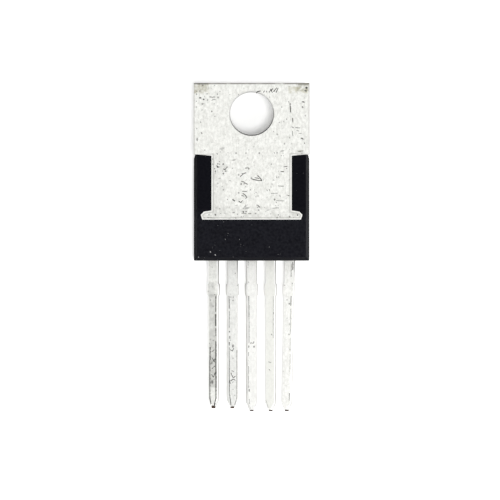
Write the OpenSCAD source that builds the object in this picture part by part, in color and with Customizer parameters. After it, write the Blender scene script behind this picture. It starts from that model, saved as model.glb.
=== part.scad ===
// Five-lead power package with a voltage regulator chip inside.
// Origin: centre of the mounting hole, in the plane of the bare heat face.
// +Z points out of the heat face, +Y towards the head of the tab, and the leads run along -Y.
// The part lies on its moulded front face, as it comes to rest on a bench. Millimetres.

/* [Package] */
// Width across the tab's head and across the moulding at its parting line
package_w = 10.3; // [9.8:0.05:10.6]
// Thickness from the heat face to the moulded front face
package_t = 4.45; // [4.2:0.05:4.8]
// Length of the moulding, from the tab's shoulder to the end where the leads come out
mould_l = 9.3; // [9:0.05:9.8]
// Draft of the moulding's walls behind the parting line, in degrees
back_draft = 8; // [3:0.5:10]
// Draft of the moulding's walls in front of the parting line, in degrees
front_draft = 5; // [2:0.5:8]
// How far the moulding's nose laps onto the front of the head, past the shoulder
nose_lap = 0.2; // [0.16:0.01:0.35]
// Height of the nose's steep foot above the front of the tab
nose_foot = 0.6; // [0.3:0.05:1]
// How far the foot of the nose leans back
nose_foot_run = 0.1; // [0.05:0.01:0.2]
// Length of the slope from the foot of the nose to the front face
nose_run = 1.1; // [0.6:0.05:1.6]
// Diameter of the ejector pin's mark in the front face
ejector_d = 1.8; // [1.2:0.1:2.6]
// Depth of the ejector pin's mark
ejector_depth = 0.1; // [0.04:0.01:0.2]
// Distance of the ejector pin's mark from the lead end
ejector_edge = 2.4; // [1.8:0.1:4]

/* [Tab] */
// Thickness of the tab
tab_t = 1.27; // [1.15:0.01:1.4]
// Length of the head, from its free edge to the shoulder at the neck
head_l = 6.45; // [6.2:0.05:6.8]
// Diameter of the mounting hole
hole_d = 3.84; // [3.5:0.02:4.1]
// Distance of the mounting hole's centre from the head's free edge
hole_edge = 2.7; // [2.6:0.05:3.1]
// Width of the bevel that punching leaves around the mounting hole
hole_bevel = 0.08; // [0.03:0.01:0.15]
// Radius along the head's sheared edges
edge_r = 0.15; // [0.05:0.01:0.25]
// How much higher the shoulder lies at the head's sides than at the neck
shoulder_rise = 0.14; // [0:0.01:0.15]
// Width of the neck, the heat pad between the moulding's ears
neck_w = 7.1; // [6.6:0.05:7.5]
// Length of the neck, from the shoulder to the wings
neck_l = 4.85; // [4.6:0.05:5.1]
// Width across the wings at the foot of the pad
wing_w = 9; // [8.6:0.05:9.3]
// Length of the wings along the tab
wing_l = 0.8; // [0.7:0.05:1.1]
// How far the wings' upper edges fall away towards their tips
wing_fall = 0.1; // [0.02:0.01:0.2]
// Size of the cut corner at each wing's tip
wing_corner = 0.28; // [0.1:0.02:0.4]
// How far each wing's end leans in towards the foot
wing_lean = 0.13; // [0:0.01:0.25]
// Overhang of the coined ledge that the moulding grips beside the neck
ledge_w = 0.25; // [0.1:0.01:0.35]
// Thickness of the coined ledge
ledge_t = 0.6; // [0.4:0.05:0.8]
// Width of the locking grooves across the front of the pad
groove_w = 0.4; // [0.2:0.02:0.5]
// Depth of the locking grooves
groove_depth = 0.18; // [0.05:0.01:0.3]
// Distance from the shoulder to the upper groove, and from the pad's foot to the lower one
groove_edge = 0.45; // [0.35:0.01:0.5]

/* [Leads] */
// Spacing of the leads
lead_pitch = 1.7; // [1.6:0.02:1.8]
// Thickness of the leads
lead_t = 0.4; // [0.35:0.01:0.5]
// Distance from the heat face to the leads' near surface, where the mould parts
lead_plane = 2.4; // [2.3:0.02:2.5]
// Length of a full lead outside the moulding
lead_l = 13.45; // [12.5:0.05:14]
// Width of the leads where they leave the moulding
root_w = 0.98; // [0.8:0.02:1]
// Distance from the moulding to the stub of the cut dam bar
dam_start = 2; // [1.6:0.05:2.4]
// Length of the dam bar's stub along the lead
dam_l = 1; // [0.6:0.05:1.4]
// Width across the dam bar's stubs
dam_w = 1.16; // [1:0.02:1.2]
// Width of the shank below the dam bar
shank_w = 0.98; // [0.6:0.02:1]
// Length of the step from the dam bar's stub to the shank
dam_step = 0.25; // [0.1:0.01:0.4]
// Length of the taper at the tip
tip_l = 0.75; // [0.5:0.05:1]
// Width of the cut end at the tip
tip_w = 0.34; // [0.2:0.02:0.5]
// How much shorter leads 4 and 5 are cut
short_cut = 0.26; // [0:0.02:0.5]
// Sideways lean of leads 1 to 5, in the direction of lead 5, in degrees
lean_angle = [1.1, 0, 0, 0.1, 0]; // [0:0.1:1.5]

/* [Inside] */
// Length of the bond posts at the leads' inner ends
post_l = 1.4; // [1.2:0.05:1.5]
// Gap along the package between the posts and the pad's foot
post_gap = 0.3; // [0.2:0.02:0.4]
// Gap between neighbouring posts
post_side_gap = 0.4; // [0.3:0.02:0.5]
// How much wider the two outermost posts are, on their outer sides
post_extra_w = 0.3; // [0:0.02:0.4]
// Width of the leads at the lock, the waist that the moulding grips
lock_w = 0.56; // [0.44:0.02:0.7]
// Length of the lock's waist
lock_l = 0.5; // [0.3:0.05:0.6]
// Length of each slope beside the lock
lock_slope = 0.2; // [0.1:0.02:0.3]
// Width of the strip that joins the pad to lead 3
web_w = 0.9; // [0.8:0.02:1]
// Length of the flat start of that strip, before it steps down to the lead plane
web_flat = 0.2; // [0.1:0.02:0.3]
// Angle of that step, in degrees
web_angle = 60; // [50:1:70]
// Radius inside the step's two bends
web_bend_r = 0.15; // [0.1:0.01:0.2]
// Width of the chip
die_w = 3.2; // [3:0.05:3.6]
// Length of the chip
die_l = 3; // [2.6:0.05:3.2]
// Thickness of the chip
die_t = 0.3; // [0.2:0.01:0.38]
// Distance from the lower edge of the chip to the pad's foot
die_edge = 1.5; // [1.45:0.05:1.7]
// Thickness of the solder under the chip
attach_t = 0.06; // [0.03:0.01:0.1]
// How far the solder shows around the chip
attach_margin = 0.12; // [0.05:0.01:0.2]
// Distance of the bond pads from the chip's lower edge
bond_edge = 0.45; // [0.4:0.02:0.6]
// Spacing of the bond pads across the chip
pad_pitch = 0.38; // [0.34:0.01:0.42]
// Distance between the landings of the two heavy wires on one post
landing_pitch = 0.5; // [0.4:0.02:0.6]
// Diameter of the heavy bond wires that carry the load current
power_wire_d = 0.15; // [0.1:0.01:0.17]
// Diameter of the thin bond wires that carry signals
signal_wire_d = 0.1; // [0.05:0.01:0.14]
// Height of a wire's arch as a share of the distance that it spans
loop_share = 0.25; // [0.2:0.01:0.3]

/* [Hidden] */
$fn = 64;

// Cutters reach this far past what they cut
over = 0.5;

// Number of the lead that is one piece with the tab
middle_lead = 3;

// Places along the package, from the head to the lead end
head_y = hole_edge;
shoulder_y = head_y - head_l;
wing_y = shoulder_y - neck_l;
foot_y = wing_y - wing_l;
end_y = shoulder_y - mould_l;
nose_y = shoulder_y + nose_lap;
post_y = foot_y - post_gap;
die_y = foot_y + die_edge;

// Heights, measured from the heat face down to the front face
tab_front = -tab_t;
die_back = tab_front - attach_t;
die_front = die_back - die_t;
lead_back = -lead_plane;
lead_front = lead_back - lead_t;
front_face = -package_t;

tin = [0.84, 0.84, 0.81];
aluminium = [0.88, 0.88, 0.88];
epoxy = [0.11, 0.11, 0.13];
silicon = [0.35, 0.37, 0.42];
solder = [0.6, 0.6, 0.6];

// Points mirrored about Y, in the opposite order
function mirrored(points) = [for (i = [len(points) - 1:-1:0]) [-points[i].x, points[i].y]];

// An outline that is symmetrical about Y, from the points of its right half
function both_sides(half) = concat(half, mirrored(half));

// Extrudes an outline drawn in Y and Z along X, centred on the origin
module along_x(length) {
    rotate([90, 0, 90]) linear_extrude(length, center = true) children();
}

// Extrudes an outline drawn in X and Z along Y, from its lower to its upper end
module along_y(low, high) {
    translate([0, high, 0]) rotate([90, 0, 0]) linear_extrude(high - low) children();
}

// Solid form of the moulding, before the metal inside is taken out of it
module mould_form() {
    back_side = lead_plane * tan(back_draft);
    front_side = (package_t - lead_plane) * tan(front_draft);
    intersection() {
        along_x(package_w + 2 * over) polygon([
            [end_y + back_side, 0],
            [nose_y, 0],
            [nose_y, tab_front],
            [nose_y - nose_foot_run, tab_front - nose_foot],
            [nose_y - nose_run, front_face],
            [end_y + front_side, front_face],
            [end_y, lead_back]]);
        along_y(end_y - over, nose_y + over) polygon(both_sides([
            [package_w / 2 - front_side, front_face],
            [package_w / 2, lead_back],
            [package_w / 2 - back_side, 0]]));
    }
}

module molded_body() {
    color(epoxy) difference() {
        mould_form();
        translate([0, end_y + ejector_edge, front_face - over])
            cylinder(d = ejector_d, h = over + ejector_depth);
        heat_tab();
        for (n = [1, 2, 4, 5]) outer_lead(n);
        die_attach();
        regulator_die();
        for (w = wires) bond_wire(w);
    }
}

// Right half of the tab's outline, from the head's free edge to the pad's foot
tab_half = [
    [package_w / 2, head_y],
    [package_w / 2, shoulder_y + shoulder_rise],
    [neck_w / 2, shoulder_y],
    [neck_w / 2, wing_y],
    [wing_w / 2 - wing_corner, wing_y - wing_fall],
    [wing_w / 2, wing_y - wing_fall - wing_corner],
    [wing_w / 2 - wing_lean, foot_y]];

// Section of a plate with rounded edges, centred in the first axis and hanging below zero
function rounded_section(width, thickness, r) =
    let (
        steps = 4,
        corner = [for (i = [0:steps]) r * [sin(90 * i / steps), cos(90 * i / steps)]])
    both_sides(concat(
        [for (c = corner) [width / 2 - r + c.x, c.y - r]],
        [for (i = [steps:-1:0]) [width / 2 - r + corner[i].x, r - thickness - corner[i].y]]));

// Punched plate of the tab: head, neck and wings, with the head's free edges rounded
module tab_plate() {
    pad_l = head_y - foot_y;
    intersection() {
        translate([0, 0, tab_front - over])
            linear_extrude(tab_t + 2 * over) polygon(both_sides(tab_half));
        along_y(foot_y - over, head_y + over) polygon(rounded_section(package_w, tab_t, edge_r));
        translate([0, foot_y, 0]) along_x(package_w + 2 * over)
            polygon(rounded_section(2 * pad_l, tab_t, edge_r));
    }
}

module heat_tab() {
    color(tin) difference() {
        union() {
            tab_plate();
            translate([-neck_w / 2 - ledge_w, wing_y - wing_fall, tab_front])
                cube([neck_w + 2 * ledge_w, neck_l + wing_fall, ledge_t]);
            center_lead();
        }
        mounting_hole();
        for (y = [shoulder_y - groove_edge, foot_y + groove_edge]) locking_groove(y);
    }
}

module mounting_hole() {
    translate([0, 0, tab_front - over]) cylinder(d = hole_d, h = tab_t + 2 * over);
    for (side = [0, 1]) translate([0, 0, side * tab_front]) mirror([0, 0, side])
        translate([0, 0, -hole_bevel])
            cylinder(d1 = hole_d, d2 = hole_d + 4 * hole_bevel, h = 2 * hole_bevel);
}

module locking_groove(y) {
    along_x(neck_w + 2 * ledge_w + 2 * over) polygon([
        [y - groove_w / 2, tab_front - over],
        [y - groove_w / 2, tab_front],
        [y, tab_front + groove_depth],
        [y + groove_w / 2, tab_front],
        [y + groove_w / 2, tab_front - over]]);
}

function lead_x(n) = (middle_lead - n) * lead_pitch;
function lead_length(n) = lead_l - (n > middle_lead ? short_cut : 0);

// Right half of a straight lead's outline outside the moulding, from its root to its cut tip
function lead_half(length) = [
    [root_w / 2, 0],
    [root_w / 2, -dam_start],
    [dam_w / 2, -dam_start - (dam_w - root_w) / 2],
    [dam_w / 2, -dam_start - dam_l],
    [shank_w / 2, -dam_start - dam_l - dam_step],
    [shank_w / 2, tip_l - length],
    [tip_w / 2, -length]];

// Outline of a lead outside the moulding, leaning sideways from its root
function lead_outside(n) =
    [for (p = both_sides(lead_half(lead_length(n)))) [p.x + p.y * tan(lean_angle[n - 1]), p.y]];

// Outline of an outer lead: the shank with its taper outside, the lock and the bond post inside
module lead_outline(n) {
    post_half = (lead_pitch - post_side_gap) / 2;
    reach = abs(n - middle_lead) > 1 ? post_extra_w : 0;
    lock_top = post_y - post_l - lock_slope - end_y;
    lock_low = lock_top - lock_l;
    post = [
        [-root_w / 2, lock_low - lock_slope],
        [-lock_w / 2, lock_low],
        [-lock_w / 2, lock_top],
        [-post_half, lock_top + lock_slope],
        [-post_half, post_y - end_y],
        [post_half + reach, post_y - end_y],
        [post_half + reach, lock_top + lock_slope],
        [lock_w / 2, lock_top],
        [lock_w / 2, lock_low],
        [root_w / 2, lock_low - lock_slope]];
    inside = n < middle_lead ? post : mirrored(post);
    translate([lead_x(n), end_y]) polygon(concat(lead_outside(n), inside));
}

module outer_lead(n) {
    color(tin) translate([0, 0, lead_front]) linear_extrude(lead_t) lead_outline(n);
}

// Points of a bend about a centre, in Y and Z, from one angle to another
function bend(center, r, from, to) =
    let (steps = 6)
    [for (i = [0:steps])
        let (t = from + (to - from) * i / steps)
        center + r * [-sin(t), cos(t)]];

// Lead 3 is one piece with the tab: a strip steps down from the pad's front to the lead plane
module center_lead() {
    outer_r = web_bend_r + lead_t;
    drop = lead_plane + lead_t - tab_t;
    slant = (drop - (web_bend_r + outer_r) * (1 - cos(web_angle))) / sin(web_angle);
    run = (web_bend_r + outer_r) * sin(web_angle) + slant * cos(web_angle);
    upper = [foot_y - web_flat, tab_front - web_bend_r];
    lower = [upper.x - run, lead_back + web_bend_r];
    along_x(web_w) polygon(concat(
        [[foot_y + over, tab_front]],
        bend(upper, web_bend_r, 0, web_angle),
        bend(lower, -outer_r, web_angle, 0),
        [[end_y, lead_front], [end_y, lead_back]],
        bend(lower, -web_bend_r, 0, web_angle),
        bend(upper, outer_r, web_angle, 0),
        [[foot_y + over, tab_front + lead_t]]));
    translate([0, 0, lead_front]) linear_extrude(lead_t)
        translate([0, end_y]) polygon(lead_outside(middle_lead));
}

module die_attach() {
    color(solder)
        translate([-die_w / 2 - attach_margin, die_y - attach_margin, die_back])
            cube([die_w + 2 * attach_margin, die_l + 2 * attach_margin, attach_t]);
}

module regulator_die() {
    color(silicon) translate([-die_w / 2, die_y, die_front]) cube([die_w, die_l, die_t]);
}

bond_y = die_y + bond_edge;
landing_y = post_y - post_l / 2;
ground_y = (die_y + foot_y) / 2;

// Place of a bond pad on the chip, counted from the right
pad_count = 8;
function pad_x(i) = ((pad_count - 1) / 2 - i) * pad_pitch;

// A wire: where it leaves the chip, where it lands, the height it lands at, and its diameter
function power_wire(pad, lead, side) =
    [[pad_x(pad), bond_y], [lead_x(lead) + side * landing_pitch / 2, landing_y], lead_front, power_wire_d];
function ground_wire(pad) = [[pad_x(pad), bond_y], [pad_x(pad), ground_y], tab_front, power_wire_d];
function signal_wire(pad, lead) =
    [[pad_x(pad), bond_y], [lead_x(lead), landing_y], lead_front, signal_wire_d];

wires = [
    power_wire(0, 1, 1),
    power_wire(1, 1, -1),
    power_wire(2, 2, 1),
    power_wire(3, 2, -1),
    ground_wire(4),
    ground_wire(5),
    signal_wire(6, 4),
    signal_wire(7, 5)];

// A bond's foot is the wire pressed flat: its length, height and width for each unit of diameter
foot_form = [2.2, 0.5, 1.5];
// Share of a foot's length that lies under the arch
foot_heel = 0.3;
// Degrees by which the arch runs on into the foot at each end
foot_overlap = 8;

// A wire arches from the chip to its landing, with a flattened foot at each end
module bond_wire(wire) {
    start = wire[0];
    way = wire[1] - start;
    rise = die_front - wire[2];
    wire_d = wire[3];
    run = norm(way);
    chord = norm([run, rise]);
    tilt = atan2(rise, run);
    sag = loop_share * chord;
    arch_r = (chord * chord / 4 + sag * sag) / (2 * sag);
    half = asin(chord / 2 / arch_r);
    depth = arch_r - sag;
    foot = wire_d * foot_form;
    color(aluminium) translate([start.x, start.y, die_front])
        rotate([0, 0, atan2(way.y, way.x)]) rotate([-90, 0, 0]) difference() {
            union() {
                translate([run / 2 + depth * sin(tilt), rise / 2 - depth * cos(tilt), 0])
                    rotate([0, 0, 90 + tilt - half - foot_overlap])
                        rotate_extrude(angle = 2 * (half + foot_overlap))
                            translate([arch_r, 0]) circle(d = wire_d);
                translate([(foot_heel - 1) * foot.x, 0, -foot.z / 2]) cube(foot);
                translate([run - foot_heel * foot.x, rise, -foot.z / 2]) cube(foot);
            }
            translate([-over, -over, -over]) cube([over + wire_d, over, 2 * over]);
            translate([run - over, rise - over, -over]) cube([2 * over, over, 2 * over]);
        }
}

molded_body();
heat_tab();
outer_lead(1);  // lead_1
outer_lead(2);  // lead_2
outer_lead(4);  // lead_4
outer_lead(5);  // lead_5
die_attach();
regulator_die();
bond_wire(wires[0]);  // bond_wire_1a
bond_wire(wires[1]);  // bond_wire_1b
bond_wire(wires[2]);  // bond_wire_2a
bond_wire(wires[3]);  // bond_wire_2b
bond_wire(wires[4]);  // bond_wire_3a
bond_wire(wires[5]);  // bond_wire_3b
bond_wire(wires[6]);  // bond_wire_4
bond_wire(wires[7]);  // bond_wire_5
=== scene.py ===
"""Five-lead power package with a voltage regulator chip inside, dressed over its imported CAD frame.

The part lies on its moulded front face with its bare heat face up. Lengths are in metres, and MM turns
millimetres into them. +Y runs towards the head of the tab, and the leads run along -Y.
"""
import logging
import math
from collections.abc import Callable, Iterable
from dataclasses import dataclass
from enum import Enum

import bmesh
import bpy
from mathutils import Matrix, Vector


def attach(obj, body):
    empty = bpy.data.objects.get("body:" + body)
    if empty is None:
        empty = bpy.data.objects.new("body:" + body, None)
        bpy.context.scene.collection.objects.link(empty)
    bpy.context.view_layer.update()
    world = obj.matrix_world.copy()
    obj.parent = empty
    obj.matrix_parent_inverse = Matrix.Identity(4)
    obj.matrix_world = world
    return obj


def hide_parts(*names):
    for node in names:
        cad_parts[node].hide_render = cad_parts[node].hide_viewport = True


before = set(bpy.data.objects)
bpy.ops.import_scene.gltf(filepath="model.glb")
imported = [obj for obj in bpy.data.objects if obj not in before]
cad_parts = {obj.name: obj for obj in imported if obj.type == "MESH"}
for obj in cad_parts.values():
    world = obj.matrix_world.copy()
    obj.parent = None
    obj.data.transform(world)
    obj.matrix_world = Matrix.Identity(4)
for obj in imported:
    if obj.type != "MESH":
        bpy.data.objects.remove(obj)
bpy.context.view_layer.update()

LOG = logging.getLogger("regulator")
MM = 0.001
UM = 0.000001
BODY = "root"
FACE_SINK = 8 * UM

Point = tuple[float, float]
Colour = tuple[float, float, float]


class Slot(Enum):
    """Material slots of the part's pieces."""

    TIN = "tin_plate"
    MOULD = "mould_compound"
    SOLDER = "solder"
    SILICON = "silicon"
    WIRE = "bond_wire"


class Mark(Enum):
    """Kinds of small marks: cells per metre, length of a mark against its width, and its size in its cell."""

    PIT = (4400.0, 1.2, 0.36)
    TICK = (3000.0, 2.6, 0.32)
    BLOTCH = (2600.0, 1.6, 0.42)
    HAIRLINE = (1500.0, 9.0, 0.16)


@dataclass(frozen=True)
class PhotoView:
    """The photograph's view, straight down on the heat face."""

    middle_px: float = 250.0
    px_per_mm: float = 11.3
    hole_px: Point = (251.6, 113.3)
    distance: float = 300.0

    def centre(self) -> Point:
        """Returns the point on the heat face under the camera, in millimetres."""
        return self.on_plane((self.middle_px, self.middle_px), 0.0)

    def field(self) -> float:
        """Returns the width that the frame shows at the heat face, in millimetres."""
        return 2 * self.middle_px / self.px_per_mm

    def on_plane(self, spot: Point, height: float) -> Point:
        """Finds what lies under a spot of the photograph.

        Args:
            spot: place in the photograph, in its pixels.
            height: height of the plane above the heat face, in millimetres.

        Returns:
            The place on that plane, in millimetres.
        """
        middle = ((self.middle_px - self.hole_px[0]) / self.px_per_mm,
                  (self.hole_px[1] - self.middle_px) / self.px_per_mm)
        spread = (self.distance - height) / self.distance / self.px_per_mm
        return (middle[0] + (spot[0] - self.middle_px) * spread,
                middle[1] + (self.middle_px - spot[1]) * spread)


PHOTO = PhotoView()


class Graph:
    """A node tree that is written one call at a time."""

    def __init__(self, tree: bpy.types.NodeTree) -> None:
        """Empties the tree."""
        self.tree = tree
        tree.nodes.clear()

    def add(self, kind: str, inputs: dict | None = None, **props: object) -> bpy.types.Node:
        """Adds a node.

        Args:
            kind: the node's type.
            inputs: values or sockets for its inputs, by name or number.
            props: the node's own settings.

        Returns:
            The new node.
        """
        node = self.tree.nodes.new(kind)
        for key, value in props.items():
            setattr(node, key, value)
        for key, value in (inputs or {}).items():
            if isinstance(value, bpy.types.NodeSocket):
                self.tree.links.new(value, node.inputs[key])
            else:
                node.inputs[key].default_value = value
        return node

    def math(self, operation: str, a: object, b: object = 0.0, clamp: bool = False) -> bpy.types.NodeSocket:
        """Returns the result of a maths operation on two values."""
        return self.add("ShaderNodeMath", {0: a, 1: b}, operation=operation, use_clamp=clamp).outputs[0]

    def vector(self, operation: str, a: object, b: object) -> bpy.types.NodeSocket:
        """Returns the result of a vector operation on two vectors."""
        return self.add("ShaderNodeVectorMath", {0: a, 1: b}, operation=operation).outputs[0]

    def remap(self, value: object, low: object, high: object,
              to_low: float = 0.0, to_high: float = 1.0) -> bpy.types.NodeSocket:
        """Returns a value brought smoothly from one range to another, and held at its ends."""
        sockets = {"Value": value, "From Min": low, "From Max": high, "To Min": to_low, "To Max": to_high}
        return self.add("ShaderNodeMapRange", sockets, interpolation_type="SMOOTHSTEP").outputs[0]

    def blend(self, factor: object, a: object, b: object) -> bpy.types.NodeSocket:
        """Returns a colour between two colours."""
        a, b = ((*c, 1.0) if isinstance(c, tuple) else c for c in (a, b))
        return self.add("ShaderNodeMix", {0: factor, 6: a, 7: b}, data_type="RGBA").outputs[2]

    def use(self, group: bpy.types.NodeTree, inputs: dict | None = None) -> bpy.types.NodeSocket:
        """Returns the first output of a shared group, placed with its own values."""
        node = self.add("ShaderNodeGroup", node_tree=group)
        for key, value in (inputs or {}).items():
            if isinstance(value, bpy.types.NodeSocket):
                self.tree.links.new(value, node.inputs[key])
            else:
                node.inputs[key].default_value = value
        return node.outputs[0]


def new_group(name: str, inputs: dict[str, object], output: str) -> tuple[Graph, dict[str, bpy.types.NodeSocket]]:
    """Starts a shader node group.

    Args:
        name: the group's name.
        inputs: each input's name and first value, a number or a vector.
        output: name of its one output, a mask.

    Returns:
        The group's graph, and its input sockets by name.
    """
    tree = bpy.data.node_groups.new(name, "ShaderNodeTree")
    graph = Graph(tree)
    for key, value in inputs.items():
        kind = "NodeSocketVector" if isinstance(value, tuple) else "NodeSocketFloat"
        tree.interface.new_socket(name=key, in_out="INPUT", socket_type=kind).default_value = value
    tree.interface.new_socket(name=output, in_out="OUTPUT", socket_type="NodeSocketFloat")
    entry = graph.add("NodeGroupInput")
    return graph, {key: entry.outputs[key] for key in inputs}


class SharedEffects:
    """Shader node groups that several finishes use, each built once."""

    def __init__(self) -> None:
        """Builds every group."""
        self.grain = self._grain()
        self.marks = self._marks()
        self.zone = self._zone()
        self.line = self._line()

    @staticmethod
    def _close(graph: Graph, value: bpy.types.NodeSocket) -> bpy.types.NodeTree:
        """Sends a value to the group's output and returns the group."""
        graph.add("NodeGroupOutput", {0: value})
        return graph.tree

    def _grain(self) -> bpy.types.NodeTree:
        """Returns cloudy grain, drawn out along Y as by rolling."""
        graph, given = new_group("Rolled grain", {"Scale": 3000.0, "Stretch": 1.0, "Contrast": 1.0}, "Mask")
        place = graph.add("ShaderNodeTexCoord").outputs["Object"]
        along = graph.math("DIVIDE", given["Scale"], given["Stretch"])
        size = graph.add("ShaderNodeCombineXYZ", {0: given["Scale"], 1: along, 2: given["Scale"]}).outputs[0]
        noise = graph.add("ShaderNodeTexNoise", {
            "Vector": graph.vector("MULTIPLY", place, size), "Scale": 1.0, "Detail": 4.0, "Roughness": 0.6})
        swing = graph.math("MULTIPLY", graph.math("SUBTRACT", noise.outputs[0], 0.5), given["Contrast"])
        return self._close(graph, graph.math("ADD", swing, 0.5, clamp=True))

    def _marks(self) -> bpy.types.NodeTree:
        """Returns scattered small marks of uneven size, gathered in loose clusters."""
        graph, given = new_group("Scattered marks", {
            "Scale": 3000.0, "Stretch": 1.0, "Angle": 0.0, "Size": 0.3, "Cover": 0.2, "Cluster": 900.0}, "Mask")
        place = graph.add("ShaderNodeTexCoord").outputs["Object"]
        turned = graph.add("ShaderNodeVectorRotate", {"Vector": place, "Angle": given["Angle"]},
                           rotation_type="Z_AXIS").outputs[0]
        along = graph.math("DIVIDE", given["Scale"], given["Stretch"])
        size = graph.add("ShaderNodeCombineXYZ", {0: given["Scale"], 1: along, 2: given["Scale"]}).outputs[0]
        cells = graph.add("ShaderNodeTexVoronoi", {
            "Vector": graph.vector("MULTIPLY", turned, size), "Scale": 1.0, "Randomness": 1.0})
        chance = graph.add("ShaderNodeSeparateColor", {0: cells.outputs["Color"]})
        reach = graph.math("MULTIPLY", given["Size"], graph.math("ADD", chance.outputs[0], 0.25))
        dot = graph.remap(cells.outputs["Distance"], reach, graph.math("MULTIPLY", reach, 0.4))
        gather = graph.add("ShaderNodeTexNoise", {"Vector": place, "Scale": given["Cluster"], "Detail": 2.0})
        cover = graph.math("MULTIPLY", given["Cover"], graph.remap(gather.outputs[0], 0.38, 0.62, 0.15, 1.85))
        there = graph.math("LESS_THAN", chance.outputs[1], cover)
        return self._close(graph, graph.math("MULTIPLY", dot, there))

    def _zone(self) -> bpy.types.NodeTree:
        """Returns a soft-edged rectangle, seen along Z, with a ragged border, above a lowest height."""
        graph, given = new_group("Ragged zone", {
            "Centre": (0.0, 0.0, 0.0), "Half Size": (1.0, 1.0, 1.0), "Soft": 0.1 * MM, "Ragged": 0.1 * MM,
            "Lowest": -1.0}, "Mask")
        place = graph.add("ShaderNodeTexCoord").outputs["Object"]
        away = graph.add("ShaderNodeVectorMath", {0: graph.vector("SUBTRACT", place, given["Centre"])},
                         operation="ABSOLUTE").outputs[0]
        past = graph.add("ShaderNodeSeparateXYZ", {0: graph.vector("SUBTRACT", away, given["Half Size"])})
        edge = graph.math("MAXIMUM", past.outputs[0], past.outputs[1])
        noise = graph.add("ShaderNodeTexNoise", {"Vector": place, "Scale": 2600.0, "Detail": 3.0}).outputs[0]
        shift = graph.math("MULTIPLY", graph.math("SUBTRACT", noise, 0.5), given["Ragged"])
        flat = graph.remap(graph.math("ADD", edge, shift), given["Soft"], 0.0)
        height = graph.add("ShaderNodeSeparateXYZ", {0: place}).outputs[2]
        above = graph.remap(height, given["Lowest"], graph.math("ADD", given["Lowest"], 0.1 * MM))
        return self._close(graph, graph.math("MULTIPLY", flat, above))

    def _line(self) -> bpy.types.NodeTree:
        """Returns a broken line along a flat cut through the piece."""
        graph, given = new_group("Broken line", {
            "Normal": (0.0, 1.0, 0.0), "Offset": 0.0, "Width": 0.1 * MM, "Break": 0.5, "Scale": 900.0}, "Mask")
        place = graph.add("ShaderNodeTexCoord").outputs["Object"]
        reach = graph.add("ShaderNodeVectorMath", {0: place, 1: given["Normal"]}, operation="DOT_PRODUCT").outputs["Value"]
        away = graph.math("ABSOLUTE", graph.math("SUBTRACT", reach, given["Offset"]))
        band = graph.remap(away, given["Width"], graph.math("MULTIPLY", given["Width"], 0.35))
        noise = graph.add("ShaderNodeTexNoise", {"Vector": place, "Scale": given["Scale"], "Detail": 4.0}).outputs[0]
        gap = graph.remap(noise, graph.math("SUBTRACT", given["Break"], 0.1), graph.math("ADD", given["Break"], 0.1))
        return self._close(graph, graph.math("MULTIPLY", band, gap))


def new_material(name: str) -> tuple[bpy.types.Material, Graph]:
    """Returns an empty node material and its graph."""
    material = bpy.data.materials.new(name)
    material.use_nodes = True
    return material, Graph(material.node_tree)


@dataclass(frozen=True)
class Patch:
    """A patch of marks or discolouring that the photograph shows."""

    centre: Point
    half: Point
    mark: Mark | None
    strength: float
    cover: float = 0.5
    angle: float = 0.0
    colour: Colour = (0.10, 0.10, 0.095)
    height: float = 0.0
    mottle: float = 4.5

    def mask(self, graph: Graph, effects: SharedEffects) -> bpy.types.NodeSocket:
        """Adds the patch's nodes.

        Args:
            graph: the material's graph.
            effects: the shared groups.

        Returns:
            How far the patch covers the metal, from 0 to its strength.
        """
        x, y = PHOTO.on_plane(self.centre, self.height)
        half = [value / PHOTO.px_per_mm * MM for value in self.half]
        soft = min(half) * 0.6
        zone = graph.use(effects.zone, {
            "Centre": (x * MM, y * MM, 0.0), "Half Size": (*half, 1.0), "Soft": soft, "Ragged": soft,
            "Lowest": (self.height - 0.3) * MM})
        if self.mark is None:
            cloud = graph.use(effects.grain, {"Scale": 2400.0, "Stretch": 1.0, "Contrast": self.mottle})
            return graph.math("MULTIPLY", graph.math("MULTIPLY", zone, cloud), self.strength)
        scale, stretch, size = self.mark.value
        marks = graph.use(effects.marks, {
            "Scale": scale, "Stretch": stretch, "Angle": math.radians(self.angle), "Size": size,
            "Cover": self.cover, "Cluster": scale / 3})
        return graph.math("MULTIPLY", graph.math("MULTIPLY", zone, marks), self.strength)


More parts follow.
